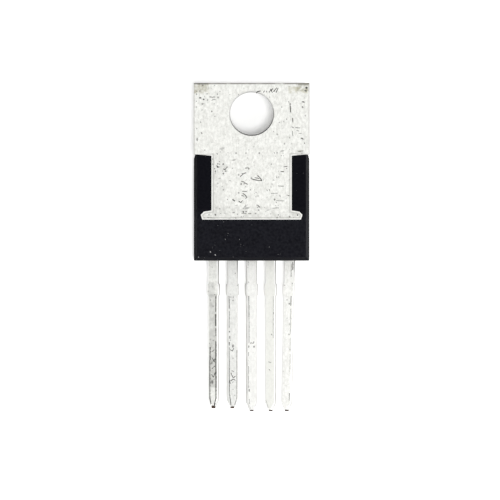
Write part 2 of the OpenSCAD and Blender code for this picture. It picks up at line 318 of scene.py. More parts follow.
@dataclass(frozen=True)
class TinFinish:
    """Matte tin plate with rolling grain, mottling, pits and the marks of handling, and where asked a painted highlight
    on the pad's rolled border and painted shade along the head's top edge.
    """

    name: str
    light: Colour = (0.970, 0.972, 0.940)
    dark: Colour = (0.670, 0.673, 0.632)
    pits: float = 0.13
    hairlines: float = 0.20
    patches: tuple[Patch, ...] = ()
    # Whether the pad's rolled border is painted: a darker line and a paler band, a painted highlight.
    rim: bool = False
    # Where the head's top edge lies along Y, for a line of painted shade there; None leaves it out.
    top_edge_shade: float | None = None

    def build(self, effects: SharedEffects) -> bpy.types.Material:
        """Builds the material.

        Args:
            effects: the shared groups.

        Returns:
            The finished material.
        """
        material, graph = new_material(self.name)
        cloud = graph.use(effects.grain, {"Scale": 1300.0, "Stretch": 1.3, "Contrast": 1.5})
        grain = graph.use(effects.grain, {"Scale": 8500.0, "Stretch": 5.0, "Contrast": 1.8})
        tooth = graph.use(effects.grain, {"Scale": 11000.0, "Stretch": 1.0, "Contrast": 2.0})
        mottle = graph.use(effects.grain, {"Scale": 4600.0, "Stretch": 1.5, "Contrast": 2.0})
        fine = graph.math("ADD", graph.math("MULTIPLY", grain, 0.20), graph.math("MULTIPLY", tooth, 0.20))
        broad = graph.math("ADD", graph.math("MULTIPLY", cloud, 0.22), graph.math("MULTIPLY", mottle, 0.38))
        tone = graph.remap(graph.math("ADD", fine, broad), 0.22, 0.74)
        colour = graph.blend(tone, self.dark, self.light)
        pits = self._scatter(graph, effects, Mark.PIT, self.pits, 0.0)
        lines = self._scatter(graph, effects, Mark.HAIRLINE, self.hairlines, 0.12)
        colour = graph.blend(graph.math("MULTIPLY", pits, 0.62), colour, (0.17, 0.17, 0.16))
        colour = graph.blend(graph.math("MULTIPLY", lines, 0.34), colour, (0.30, 0.30, 0.28))
        for patch in self.patches:
            colour = graph.blend(patch.mask(graph, effects), colour, patch.colour)
        # The pad's rolled border: a darker line where it leaves the flat, then a paler band along the edge, a painted
        # highlight.
        if self.rim:
            rim = graph.add("ShaderNodeAttribute", attribute_name="rim").outputs["Fac"]
            inner = graph.math("MULTIPLY", graph.remap(rim, 0.0, 0.25), graph.remap(rim, 0.72, 0.55))
            colour = graph.blend(graph.math("MULTIPLY", inner, 0.55), colour, (0.50, 0.495, 0.47))
            colour = graph.blend(graph.math("MULTIPLY", graph.remap(rim, 0.62, 0.80), 0.8), colour, (0.93, 0.93, 0.90))
        # Painted shade: a dark broken line along the head's top edge.
        if self.top_edge_shade is not None:
            line = graph.use(effects.line, {
                "Normal": (0.0, 1.0, 0.0), "Offset": self.top_edge_shade, "Width": 0.17 * MM, "Break": 0.38})
            colour = graph.blend(graph.math("MULTIPLY", line, 0.82), colour, (0.10, 0.095, 0.085))
        height = graph.math("ADD", grain, graph.math("MULTIPLY", tooth, 0.6))
        height = graph.math("SUBTRACT", height, pits)
        bump = graph.add("ShaderNodeBump", {"Strength": 0.35, "Distance": 6 * UM, "Height": height}).outputs[0]
        shader = graph.add("ShaderNodeBsdfPrincipled", {
            "Base Color": colour, "Metallic": 1.0, "Normal": bump,
            "Roughness": graph.remap(graph.math("ADD", tone, pits), 0.0, 1.2, 0.40, 0.62)})
        graph.add("ShaderNodeOutputMaterial", {"Surface": shader.outputs[0]})
        return material

    @staticmethod
    def _scatter(graph: Graph, effects: SharedEffects, mark: Mark, cover: float, angle: float) -> bpy.types.NodeSocket:
        """Returns marks of one kind scattered over the whole piece."""
        scale, stretch, size = mark.value
        return graph.use(effects.marks, {
            "Scale": scale, "Stretch": stretch, "Angle": angle, "Size": size, "Cover": cover, "Cluster": 500.0})


@dataclass(frozen=True)
class ShearedFinish:
    """A punched edge: a burnished band near the heat face and torn metal below it, with tarnish."""

    name: str
    smooth: Colour
    torn: Colour
    band: float
    tarnish: float

    def build(self, effects: SharedEffects) -> bpy.types.Material:
        """Builds the material.

        Args:
            effects: the shared groups.

        Returns:
            The finished material.
        """
        material, graph = new_material(self.name)
        place = graph.add("ShaderNodeTexCoord").outputs["Object"]
        parts = graph.add("ShaderNodeSeparateXYZ", {0: place})
        streaks = graph.add("ShaderNodeTexNoise", {
            "Vector": graph.vector("MULTIPLY", place, (14000.0, 14000.0, 1500.0)), "Scale": 1.0, "Detail": 4.0}).outputs[0]
        border = graph.math("ADD", parts.outputs[2], graph.math("MULTIPLY", graph.math("SUBTRACT", streaks, 0.5), 0.25 * MM))
        torn = graph.remap(border, self.band + 0.05 * MM, self.band - 0.05 * MM)
        cloud = graph.use(effects.grain, {"Scale": 1600.0, "Stretch": 1.0, "Contrast": 2.2})
        colour = graph.blend(torn, self.smooth, self.torn)
        colour = graph.blend(graph.math("MULTIPLY", streaks, 0.5), colour, tuple(0.55 * c for c in self.torn))
        colour = graph.blend(graph.math("MULTIPLY", cloud, self.tarnish), colour, (0.05, 0.045, 0.04))
        bump = graph.add("ShaderNodeBump", {"Strength": 0.5, "Distance": 12 * UM, "Height": streaks}).outputs[0]
        shader = graph.add("ShaderNodeBsdfPrincipled", {
            "Base Color": colour, "Metallic": 1.0, "Normal": bump,
            "Roughness": graph.remap(graph.math("ADD", torn, streaks), 0.3, 1.5, 0.35, 0.65)})
        graph.add("ShaderNodeOutputMaterial", {"Surface": shader.outputs[0]})
        return material


@dataclass(frozen=True)
class MouldFinish:
    """Black mould compound: a fine eroded texture with faint scuffs and paler cloudy patches, with painted shade over
    the ears.
    """

    name: str = "mould compound"
    base: Colour = (0.0016, 0.0016, 0.0032)
    cloud: Colour = (0.0085, 0.0087, 0.0122)
    fleck: Colour = (0.0215, 0.0217, 0.0262)
    sheen: float = 0.06
    # Span along Y, in millimetres, over which painted shade darkens the compound towards the ears beside the neck.
    ear_shade_span: tuple[float, float] = (-9.6, -8.0)

    def build(self, effects: SharedEffects) -> bpy.types.Material:
        """Builds the material.

        Args:
            effects: the shared groups.

        Returns:
            The finished material.
        """
        material, graph = new_material(self.name)
        cloud = graph.use(effects.grain, {"Scale": 1100.0, "Stretch": 1.0, "Contrast": 2.2})
        texture = graph.use(effects.grain, {"Scale": 9000.0, "Stretch": 1.0, "Contrast": 2.0})
        scuffs = graph.use(effects.marks, {
            "Scale": 1100.0, "Stretch": 12.0, "Angle": 1.2, "Size": 0.10, "Cover": 0.10, "Cluster": 350.0})
        filler = graph.use(effects.grain, {"Scale": 4600.0, "Stretch": 1.0, "Contrast": 3.2})
        colour = graph.blend(cloud, self.base, self.cloud)
        colour = graph.blend(graph.math("MULTIPLY", filler, 0.50), colour, self.fleck)
        # Painted shade: the compound darkens over the ears beside the neck.
        place = graph.add("ShaderNodeTexCoord").outputs["Object"]
        along = graph.add("ShaderNodeSeparateXYZ", {0: place}).outputs[1]
        ear_shade = graph.remap(along, self.ear_shade_span[0] * MM, self.ear_shade_span[1] * MM, 0.0, 0.66)
        colour = graph.blend(ear_shade, colour, self.base)
        colour = graph.blend(graph.math("MULTIPLY", scuffs, 0.35), colour, (0.045, 0.045, 0.050))
        bump = graph.add("ShaderNodeBump", {"Strength": 0.45, "Distance": 9 * UM, "Height": texture}).outputs[0]
        shader = graph.add("ShaderNodeBsdfPrincipled", {
            "Base Color": colour, "Metallic": 0.0, "Normal": bump, "Specular IOR Level": self.sheen,
            "Roughness": graph.remap(graph.math("ADD", cloud, texture), 0.4, 1.6, 0.78, 0.96)})
        graph.add("ShaderNodeOutputMaterial", {"Surface": shader.outputs[0]})
        return material


@dataclass(frozen=True)
class HoleRimShadeFinish:
    """The coined rim of the hole, with painted shade: pale on one side and dark on the side towards the leads, turned a
    little towards +X.
    """

    name: str = "coined hole rim with painted shade"
    # Colours of the rim's lit side and of its side in painted shade, then the direction that the shade faces.
    burnished: Colour = (0.85, 0.85, 0.83)
    tarnished: Colour = (0.07, 0.07, 0.07)
    towards: tuple[float, float, float] = (0.26, -0.96, 0.0)

    def build(self, effects: SharedEffects) -> bpy.types.Material:
        """Builds the material.

        Args:
            effects: the shared groups.

        Returns:
            The finished material.
        """
        material, graph = new_material(self.name)
        place = graph.add("ShaderNodeTexCoord").outputs["Object"]
        level = graph.vector("MULTIPLY", place, (1.0, 1.0, 0.0))
        outwards = graph.add("ShaderNodeVectorMath", {0: level}, operation="NORMALIZE").outputs[0]
        # Painted shade: the rim darkens on its side towards the leads.
        side = graph.add("ShaderNodeVectorMath", {0: outwards, 1: self.towards}, operation="DOT_PRODUCT").outputs["Value"]
        grain = graph.use(effects.grain, {"Scale": 5000.0, "Stretch": 1.0, "Contrast": 2.0})
        share = graph.remap(graph.math("ADD", side, graph.math("MULTIPLY", grain, 0.3)), -0.45, 1.0)
        bump = graph.add("ShaderNodeBump", {"Strength": 0.4, "Distance": 5 * UM, "Height": grain}).outputs[0]
        shader = graph.add("ShaderNodeBsdfPrincipled", {
            "Base Color": graph.blend(share, self.burnished, self.tarnished), "Metallic": 1.0, "Normal": bump,
            "Roughness": graph.remap(grain, 0.0, 1.0, 0.38, 0.58)})
        graph.add("ShaderNodeOutputMaterial", {"Surface": shader.outputs[0]})
        return material


@dataclass(frozen=True)
class SimpleFinish:
    """A finish with one kind of grain, for solder, silicon, wire, dust, tarnish and tin edges, where asked with painted
    shade on the leads' right edges near the moulding.
    """

    name: str
    dark: Colour
    light: Colour
    metallic: float
    roughness: float
    scale: float
    stretch: float = 1.0
    relief: float = 2 * UM
    # Strength of the painted shade on the leads' right edges near the moulding; 0 leaves it out.
    tarnish: float = 0.0

    def _root_shade(self, graph: Graph) -> bpy.types.NodeSocket:
        """Returns how far painted shade darkens the right edges of the leads, most where they leave the moulding."""
        spot = graph.add("ShaderNodeSeparateXYZ", {0: graph.add("ShaderNodeTexCoord").outputs["Object"]}).outputs
        across = graph.math("FRACT", graph.math("ADD", graph.math("DIVIDE", spot[0], LEADS.pitch * MM), 0.5))
        near = graph.remap(spot[1], (LEADS.root - LEADS.dam_start) * MM, LEADS.root * MM, 0.0, self.tarnish)
        return graph.math("MULTIPLY", near, graph.remap(across, 0.55, 0.62))

    def build(self, effects: SharedEffects) -> bpy.types.Material:
        """Builds the material.

        Args:
            effects: the shared groups.

        Returns:
            The finished material.
        """
        material, graph = new_material(self.name)
        grain = graph.use(effects.grain, {"Scale": self.scale, "Stretch": self.stretch, "Contrast": 2.4})
        bump = graph.add("ShaderNodeBump", {"Strength": 0.5, "Distance": self.relief, "Height": grain}).outputs[0]
        colour = graph.blend(grain, self.dark, self.light)
        # Painted shade: the right edges of the leads darken towards the moulding.
        if self.tarnish:
            colour = graph.blend(self._root_shade(graph), colour, (0.08, 0.08, 0.075))
        shader = graph.add("ShaderNodeBsdfPrincipled", {
            "Base Color": colour, "Metallic": self.metallic, "Normal": bump,
            "Roughness": graph.remap(grain, 0.2, 0.8, self.roughness, self.roughness + 0.15)})
        graph.add("ShaderNodeOutputMaterial", {"Surface": shader.outputs[0]})
        return material


def merged_copy(node: str) -> bmesh.types.BMesh:
    """Returns a copy of a CAD node's mesh with its triangles joined into closed, flat faces."""
    bm = bmesh.new()
    bm.from_mesh(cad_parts[node].data)
    bmesh.ops.remove_doubles(bm, verts=bm.verts, dist=0.1 * UM)
    bmesh.ops.dissolve_limit(bm, angle_limit=math.radians(0.6), verts=bm.verts, edges=bm.edges)
    bm.normal_update()
    return bm


def round_edges(bm: bmesh.types.BMesh, wanted: Callable[[bmesh.types.BMEdge], bool],
                radius: float, segments: int = 2) -> None:
    """Rounds the edges that a test picks.

    Args:
        bm: the mesh.
        wanted: says whether an edge is rounded.
        radius: how far the rounding reaches from the edge.
        segments: number of faces across it.
    """
    edges = [edge for edge in bm.edges if edge.is_manifold and wanted(edge)]
    bmesh.ops.bevel(bm, geom=edges, offset=radius, offset_type="OFFSET", segments=segments, profile=0.5,
                    affect="EDGES", clamp_overlap=False)
    bm.normal_update()


def sink_back(bm: bmesh.types.BMesh) -> None:
    """Sinks the faces in the heat face's plane a hair, so that what lies on them stays inside the CAD's box."""
    for vert in bm.verts:
        if vert.co.z > -2 * UM:
            vert.co.z -= FACE_SINK
    bm.normal_update()


def carry(piece: bpy.types.Object, slot: Slot, *nodes: str) -> None:
    """Makes a piece ride with the package, and lets it stand for CAD nodes."""
    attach(piece, BODY)
    if nodes:
        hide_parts(*nodes)
    LOG.info("%s: %d faces, replaces %s", piece.name, len(piece.data.polygons), ", ".join(nodes) or "nothing")


def plain_mesh(source: bpy.types.Object, name: str) -> bpy.types.Object:
    """Turns an object with modifiers into a plain mesh.

    Args:
        source: the object, which is removed.
        name: name of the new piece.

    Returns:
        The new piece, at the origin.
    """
    bpy.context.view_layer.update()
    evaluated = source.evaluated_get(bpy.context.evaluated_depsgraph_get())
    mesh = bpy.data.meshes.new_from_object(evaluated)
    mesh.name = name
    bpy.data.objects.remove(source)
    piece = bpy.data.objects.new(name, mesh)
    bpy.context.scene.collection.objects.link(piece)
    return piece


def metal_piece(bm: bmesh.types.BMesh, name: str, materials: Iterable[bpy.types.Material]) -> bpy.types.Object:
    """Makes a piece with smooth roundings and flat faces.

    Args:
        bm: the finished mesh, which is freed.
        name: name of the piece.
        materials: its materials, in the order of the faces' numbers.

    Returns:
        The new piece.
    """
    for face in bm.faces:
        face.smooth = True
    for edge in bm.edges:
        edge.smooth = edge.is_manifold and edge.calc_face_angle(0.0) < math.radians(38)
    mesh = bpy.data.meshes.new(name)
    bm.to_mesh(mesh)
    bm.free()
    for material in materials:
        mesh.materials.append(material)
    source = bpy.data.objects.new(name + "_raw", mesh)
    bpy.context.scene.collection.objects.link(source)
    weights = source.modifiers.new("Even normals", "WEIGHTED_NORMAL")
    weights.keep_sharp = True
    return plain_mesh(source, name)


@dataclass(frozen=True)
class LeadFaces:
    """Material numbers of a lead's plated, punched and cut faces, and of the facets of its rolled edges: a paler tin, a
    painted highlight, and a darker tin, painted shade over some rubbing.
    """

    tin: int
    sheared: int
    cut: int
    rolled_highlight: int
    rubbed_and_shaded: int


@dataclass(frozen=True)
class LeadRow:
    """The five leads: one row of stamped strips, in the CAD's sizes."""

    pitch: float = 1.7
    plane: float = -2.4
    thickness: float = 0.4
    root: float = -13.05
    length: float = 13.45
    short_cut: float = 0.26
    root_w: float = 0.98
    dam_start: float = 2.0
    dam_l: float = 1.0
    dam_w: float = 1.16
    shank_w: float = 0.98
    step: float = 0.25
    tip_l: float = 0.75
    tip_w: float = 0.34
    lean: tuple[float, ...] = (1.1, 0.0, 0.0, 0.1, 0.0)
    middle: int = 3
    roll: tuple[Point, ...] = ((0.08, 0.20), (0.08, 0.19), (0.18, 0.09), (0.18, 0.09), (0.07, 0.20))
    wide_roll: float = 0.15
    burr: float = 0.04
    cut_slope: tuple[float, ...] = (0.18, 0.16, 0.15, 0.205, 0.28)

    def length_of(self, number: int) -> float:
        """Returns a lead's length outside the moulding."""
        return self.length - (self.short_cut if number > self.middle else 0.0)

    def centre_x(self, number: int, y: float) -> float:
        """Returns the middle of a lead at a place along it."""
        return (self.middle - number) * self.pitch + (y - self.root) * math.tan(math.radians(self.lean[number - 1]))

    def half_width(self, number: int, y: float) -> float:
        """Finds half the width of a lead.

        Args:
            number: the lead, counted from the right.
            y: place along it, in millimetres.

        Returns:
            Half its width there, in millimetres.
        """
        out = self.root - y
        end = self.length_of(number)
        corners = (
            (0.0, self.root_w), (self.dam_start, self.root_w),
            (self.dam_start + (self.dam_w - self.root_w) / 2, self.dam_w),
            (self.dam_start + self.dam_l, self.dam_w), (self.dam_start + self.dam_l + self.step, self.shank_w),
            (end - self.tip_l, self.shank_w), (end, self.tip_w))
        for (near, width), (far, width_far) in zip(corners, corners[1:]):
            if out <= far:
                share = (out - near) / (far - near)
                return (width + (width_far - width) * max(share, 0.0)) / 2
        return self.tip_w / 2

    def shape(self, bm: bmesh.types.BMesh, number: int, faces: LeadFaces) -> None:
        """Slopes the cut tip of a lead, rolls its upper edges and numbers its faces.

        Args:
            bm: mesh that holds the lead.
            number: the lead, counted from the right.
            faces: material numbers of its faces.
        """
        outside = (self.root + 0.3) * MM
        tip = (self.root - self.length_of(number)) * MM
        upper = self.plane * MM - 20 * UM
        bmesh.ops.bisect_plane(bm, geom=[*bm.verts, *bm.edges, *bm.faces], dist=0.05 * UM,
                               plane_co=(0.0, (self.root + 0.05) * MM, 0.0), plane_no=(0.0, 1.0, 0.0))
        for vert in bm.verts:
            if vert.co.y < tip + 20 * UM and vert.co.z > upper:
                vert.co.y += self.cut_slope[number - 1] * MM
        bm.normal_update()

        def along(edge: bmesh.types.BMEdge) -> bool:
            """Says whether an edge runs along the lead outside the moulding."""
            a, b = (v.co for v in edge.verts)
            return max(a.y, b.y) < outside and abs(a.y - b.y) > 5 * UM and edge.calc_face_angle(0.0) > math.radians(40)

        def right_of_middle(spot: Vector) -> bool:
            """Says whether a spot lies on the right half of the lead."""
            return spot.x > self.centre_x(number, spot.y / MM) * MM

        for right, width in enumerate(self.roll[number - 1]):
            round_edges(bm, lambda edge: along(edge) and all(
                v.co.z > upper and right_of_middle(v.co) == bool(right) for v in edge.verts), width * MM, 3)
        round_edges(bm, lambda edge: along(edge) and all(v.co.z < upper - 0.3 * MM for v in edge.verts),
                    self.burr * MM)
        for face in bm.faces:
            middle = face.calc_center_median()
            if middle.y > outside:
                continue
            face.material_index = faces.tin
            if abs(face.normal.z) < 0.3:
                face.material_index = faces.sheared
            # Facets of the rolled edges get the paler tin, a painted highlight, and the rest the darker tin, painted
            # shade over some rubbing.
            elif face.normal.z < 0.985 and middle.z > upper - max(self.roll[number - 1]) * MM:
                right = right_of_middle(middle)
                wide = self.roll[number - 1][int(right)] > self.wide_roll
                bright = wide == right and (face.normal.z > 0.85 or not right)
                face.material_index = faces.rolled_highlight if bright else faces.rubbed_and_shaded
            if face.normal.y < -0.6 and middle.y < tip + 0.25 * MM:
                face.material_index = faces.cut


LEADS = LeadRow()


class HeatTab:
    """The plated tab with its hole, neck and wings, and the middle lead that is one piece with it."""

    node = "heat_tab"
    rim_w = 0.26
    rim_drop = 0.012
    corner_r = 0.10
    shoulder_y = -3.55
    head_y = 2.7
    rim_reach = 2.1
    rim_half = 4.8

    def __init__(self, materials: tuple[bpy.types.Material, ...]) -> None:
        """Keeps the tab's materials: tin, sheared, bare end, hole rim with painted shade, then those of the middle
        lead.
        """
        self.materials = materials

    def build(self) -> bpy.types.Object:
        """Builds the tab.

        Returns:
            The piece that stands for the tab and the middle lead.
        """
        bm = merged_copy(self.node)
        self._round_corners(bm)
        self._roll_rim(bm)
        for face in bm.faces:
            middle = face.calc_center_median()
            flat = abs(face.normal.z) > 0.99
            if middle.xy.length < self.rim_reach * MM and not flat:
                face.material_index = 3 if abs(face.normal.z) > 0.2 else 1
            elif abs(face.normal.z) < 0.45 and middle.y > self.shoulder_y * MM:
                face.material_index = 2 if face.normal.y > 0.7 else 1
            elif abs(face.normal.x) > 0.2 and middle.y > self.shoulder_y * MM:
                face.material_index = 1
            elif middle.y < (LEADS.root + 0.4) * MM:
                face.material_index = 4
        LEADS.shape(bm, LEADS.middle, LeadFaces(4, 1, 5, 6, 7))
        sink_back(bm)
        piece = metal_piece(bm, "heat_tab_plated", self.materials)
        carry(piece, Slot.TIN, self.node)
        return piece

    def _round_corners(self, bm: bmesh.types.BMesh) -> None:
        """Rounds the upright edges at the head's two free corners."""
        def upright(edge: bmesh.types.BMEdge) -> bool:
            """Says whether an edge stands at a corner of the head."""
            a, b = (v.co for v in edge.verts)
            at_corner = min(a.y, b.y) > (self.head_y - 0.16) * MM and min(abs(a.x), abs(b.x)) > 4.9 * MM
            return at_corner and abs(a.x - b.x) < UM and abs(a.y - b.y) < UM
        round_edges(bm, upright, self.corner_r * MM, 3)

    def _roll_rim(self, bm: bmesh.types.BMesh) -> None:
        """Rolls the border of the pad: a narrow strip that falls to the neck's and wings' edges."""
        # The rim layer marks the rolled strip, where the tin finish paints a highlight.
        layer = bm.verts.layers.float.new("rim")
        region = [f for f in bm.faces if f.normal.z > 0.999 and all(v.co.z > -5 * UM for v in f.verts)]
        strip = bmesh.ops.inset_region(bm, faces=region, thickness=self.rim_w * MM, use_even_offset=True,
                                       use_boundary=True, depth=0.0)["faces"]
        inner = {vert for face in region for vert in face.verts}
        for vert in {vert for face in strip for vert in face.verts} - inner:
            if vert.co.y < self.shoulder_y * MM and abs(vert.co.x) < self.rim_half * MM:
                vert[layer] = 1.0
                vert.co.z -= self.rim_drop * MM
        bm.normal_update()


class OuterLead:
    """One of the four leads that stand apart from the tab."""

    def __init__(self, number: int, materials: tuple[bpy.types.Material, ...]) -> None:
        """Keeps the lead's number and its materials, in the order of a lead's faces."""
        self.number = number
        self.materials = materials

    def build(self) -> bpy.types.Object:
        """Builds the lead.

        Returns:
            The piece that stands for it.
        """
        node = f"lead_{self.number}"
        bm = merged_copy(node)
        LEADS.shape(bm, self.number, LeadFaces(0, 1, 2, 3, 4))
        piece = metal_piece(bm, f"{node}_plated", self.materials)
        carry(piece, Slot.TIN, node)
        return piece


class Moulding:
    """The moulded body, with rounded outer edges and a parting line."""

    node = "molded_body"
    half_w = 5.15
    back = 0.0
    front = -4.45
    end_y = -13.05
    nose_y = -3.55
    parting = -2.4
    edge_r = 0.09
    flash_w = 0.03
    flash_h = 0.014

    def __init__(self, *materials: bpy.types.Material) -> None:
        """Keeps the materials of the moulding's faces, of its walls, with less sheen as painted shade, and of its right
        wall, with more sheen as a painted highlight.
        """
        self.materials = materials

    def _outer(self, face: bmesh.types.BMFace) -> bool:
        """Says whether a face lies on the outside of the moulding."""
        corners = [v.co / MM for v in face.verts]
        on_back = all(abs(c.z - self.back) < 0.002 for c in corners)
        on_front = all(abs(c.z - self.front) < 0.002 for c in corners)
        on_side = all(abs(c.x) > self.half_w - 0.36 for c in corners)
        on_end = all(c.y < self.end_y + 0.36 for c in corners) and face.normal.y < -0.9
        on_nose = face.normal.y > 0.9 and all(c.y > self.nose_y - 1.2 and c.z < -1.26 for c in corners)
        return on_back or on_front or on_side or on_end or on_nose

    def build(self) -> bpy.types.Object:
        """Builds the moulding.

        Returns:
            The piece that stands for it.
        """
        bm = merged_copy(self.node)
        outer = {face for face in bm.faces if self._outer(face)}
        round_edges(bm, lambda edge: set(edge.link_faces) <= outer and edge.is_convex
                    and edge.calc_face_angle(0.0) > math.radians(18), self.edge_r * MM, 3)
        self._flash(bm)
        for face in bm.faces:
            # The walls take a copy with less sheen, painted shade, and the right wall one with more sheen, a painted
            # highlight.
            if abs(face.normal.z) < 0.5 and self._on_wall(face):
                face.material_index = 2 if face.normal.x > 0.4 else 1
        sink_back(bm)
        piece = metal_piece(bm, "moulding", self.materials)
        carry(piece, Slot.MOULD, self.node)
        return piece

    def _flash(self, bm: bmesh.types.BMesh) -> None:
        """Leaves a fine ridge of flash round the walls where the mould parts."""
        for side in (-1, 1):
            walls = [f for f in bm.faces if abs(f.normal.z) < 0.3 and self._on_wall(f)]
            geom = walls + list({e for f in walls for e in f.edges}) + list({v for f in walls for v in f.verts})
            level = (self.parting + side * self.flash_w) * MM
            made = bmesh.ops.bisect_plane(bm, geom=geom, dist=0.05 * UM, plane_co=(0.0, 0.0, level),
                                          plane_no=(0.0, 0.0, 1.0))
            bm.normal_update()
            for vert in [v for v in made["geom_cut"] if isinstance(v, bmesh.types.BMVert)]:
                inward = Vector((vert.normal.x, vert.normal.y, 0.0)).normalized()
                vert.co -= inward * self.flash_h * MM
        bm.normal_update()

    def _on_wall(self, face: bmesh.types.BMFace) -> bool:
        """Says whether a face belongs to the moulding's side or end walls."""
        corners = [v.co / MM for v in face.verts]
        return (all(abs(c.x) > self.half_w - 0.5 for c in corners)
                or all(c.y < self.end_y + 0.5 for c in corners))


@dataclass(frozen=True)
class Stroke:
    """A scratch: its half width in millimetres and the spots that it joins in the photograph."""

    half_w: float
    spots: tuple[Point, ...]


@dataclass(frozen=True)
class EdgeStroke:
    """A dark line along a lead: across is its offset to the right, as a share of the lead's half width."""

    lead: int
    half_w: float
    across: float
    rows: tuple[float, ...]


HEAD_STROKES = (
    Stroke(0.020, ((200.0, 97.4), (201.6, 98.2))),
    Stroke(0.030, ((203.0, 99.0), (204.4, 99.5))),
    Stroke(0.018, ((209.6, 96.8), (212.2, 97.2), (215.0, 97.0))),
    Stroke(0.022, ((217.0, 93.8), (217.6, 94.4))),
    Stroke(0.020, ((211.9, 110.6), (211.8, 112.2))),
    Stroke(0.016, ((200.6, 121.6), (200.8, 122.6))),
    Stroke(0.016, ((201.2, 132.4), (202.2, 134.0))),
    Stroke(0.014, ((216.8, 153.4), (217.6, 154.4))),
    Stroke(0.022, ((256.2, 93.0), (258.0, 91.4), (260.4, 91.0))),
    Stroke(0.014, ((263.2, 92.4), (264.6, 90.8))),
    Stroke(0.014, ((266.2, 92.2), (266.8, 90.8))),
    Stroke(0.020, ((269.0, 92.2), (272.6, 88.6))),
    Stroke(0.018, ((270.0, 88.8), (272.6, 92.6))),
    Stroke(0.020, ((273.6, 91.8), (276.8, 87.6))),
    Stroke(0.016, ((276.0, 92.4), (278.2, 87.8))),
    Stroke(0.045, ((306.0, 87.0), (306.9, 88.6))),
    Stroke(0.022, ((304.6, 90.4), (306.6, 91.0))),
    Stroke(0.020, ((290.0, 103.4), (290.3, 107.4), (290.6, 112.4))),
    Stroke(0.012, ((288.6, 101.2), (289.0, 102.6))),
    Stroke(0.018, ((292.6, 118.0), (292.9, 122.4))),
    Stroke(0.014, ((291.6, 126.8), (293.6, 127.8))),
    Stroke(0.012, ((295.4, 127.6), (300.4, 128.0))),
    Stroke(0.012, ((292.4, 131.2), (292.9, 135.8))),
    Stroke(0.010, ((296.4, 130.4), (299.0, 131.0))),
    Stroke(0.010, ((298.6, 133.6), (301.6, 133.2))),
    Stroke(0.020, ((300.8, 138.0), (303.2, 138.5))),
    Stroke(0.016, ((304.2, 142.6), (304.8, 143.8))),
    Stroke(0.026, ((302.0, 101.6), (304.6, 102.4))),
    Stroke(0.024, ((302.0, 106.6), (303.2, 107.6))),
    Stroke(0.010, ((283.6, 120.8), (284.0, 122.2))),
    Stroke(0.012, ((273.8, 152.2), (275.0, 153.4))),
    Stroke(0.012, ((298.0, 151.4), (303.4, 151.0))),
)

NECK_STROKES = (
    Stroke(0.020, ((216.8, 165.4), (217.6, 167.2), (219.4, 166.8))),
    Stroke(0.020, ((223.2, 168.8), (225.0, 169.6), (227.4, 166.8))),
    Stroke(0.012, ((229.6, 180.2), (230.6, 181.0))),
    Stroke(0.016, ((240.0, 176.8), (243.0, 174.2), (246.2, 172.6))),
    Stroke(0.012, ((241.4, 173.6), (244.4, 173.0))),
    Stroke(0.020, ((250.8, 178.6), (256.0, 180.2), (262.0, 180.6))),
    Stroke(0.018, ((257.4, 175.4), (259.8, 177.6), (262.0, 180.6))),
    Stroke(0.014, ((254.6, 177.6), (259.6, 178.6))),
    Stroke(0.016, ((241.2, 181.4), (244.4, 182.2), (247.6, 184.6))),
    Stroke(0.012, ((243.4, 184.0), (246.2, 183.4))),
    Stroke(0.016, ((273.4, 179.8), (274.6, 180.4))),
    Stroke(0.014, ((283.6, 166.9), (287.4, 166.4))),
    Stroke(0.020, ((280.6, 171.4), (283.8, 171.6))),
    Stroke(0.012, ((266.6, 189.6), (267.6, 191.0))),
    Stroke(0.012, ((269.2, 189.2), (269.6, 191.0))),
    Stroke(0.014, ((242.0, 191.2), (247.4, 191.4))),
    Stroke(0.018, ((242.6, 193.6), (245.0, 194.6), (246.8, 197.6))),
    Stroke(0.014, ((241.4, 195.6), (244.4, 196.2))),
    Stroke(0.014, ((245.4, 198.8), (247.6, 196.8))),
    Stroke(0.026, ((232.4, 199.4), (234.8, 200.9))),
    Stroke(0.018, ((238.6, 201.0), (240.6, 202.6), (242.8, 200.4))),
    Stroke(0.016, ((256.4, 205.0), (258.4, 205.6), (260.0, 207.4))),
    Stroke(0.012, ((257.0, 207.6), (259.4, 206.6))),
    Stroke(0.016, ((287.4, 195.0), (289.2, 195.8))),
    Stroke(0.012, ((241.6, 213.0), (246.4, 213.4))),
    Stroke(0.012, ((248.2, 213.2), (251.4, 213.9))),
    Stroke(0.010, ((207.4, 217.6), (214.8, 218.2))),
    Stroke(0.012, ((278.0, 186.0), (284.0, 186.2))),
    Stroke(0.010, ((271.0, 193.4), (277.6, 193.2))),
    Stroke(0.010, ((276.4, 200.6), (284.4, 200.9))),
    Stroke(0.010, ((272.4, 208.2), (279.0, 207.8))),
)

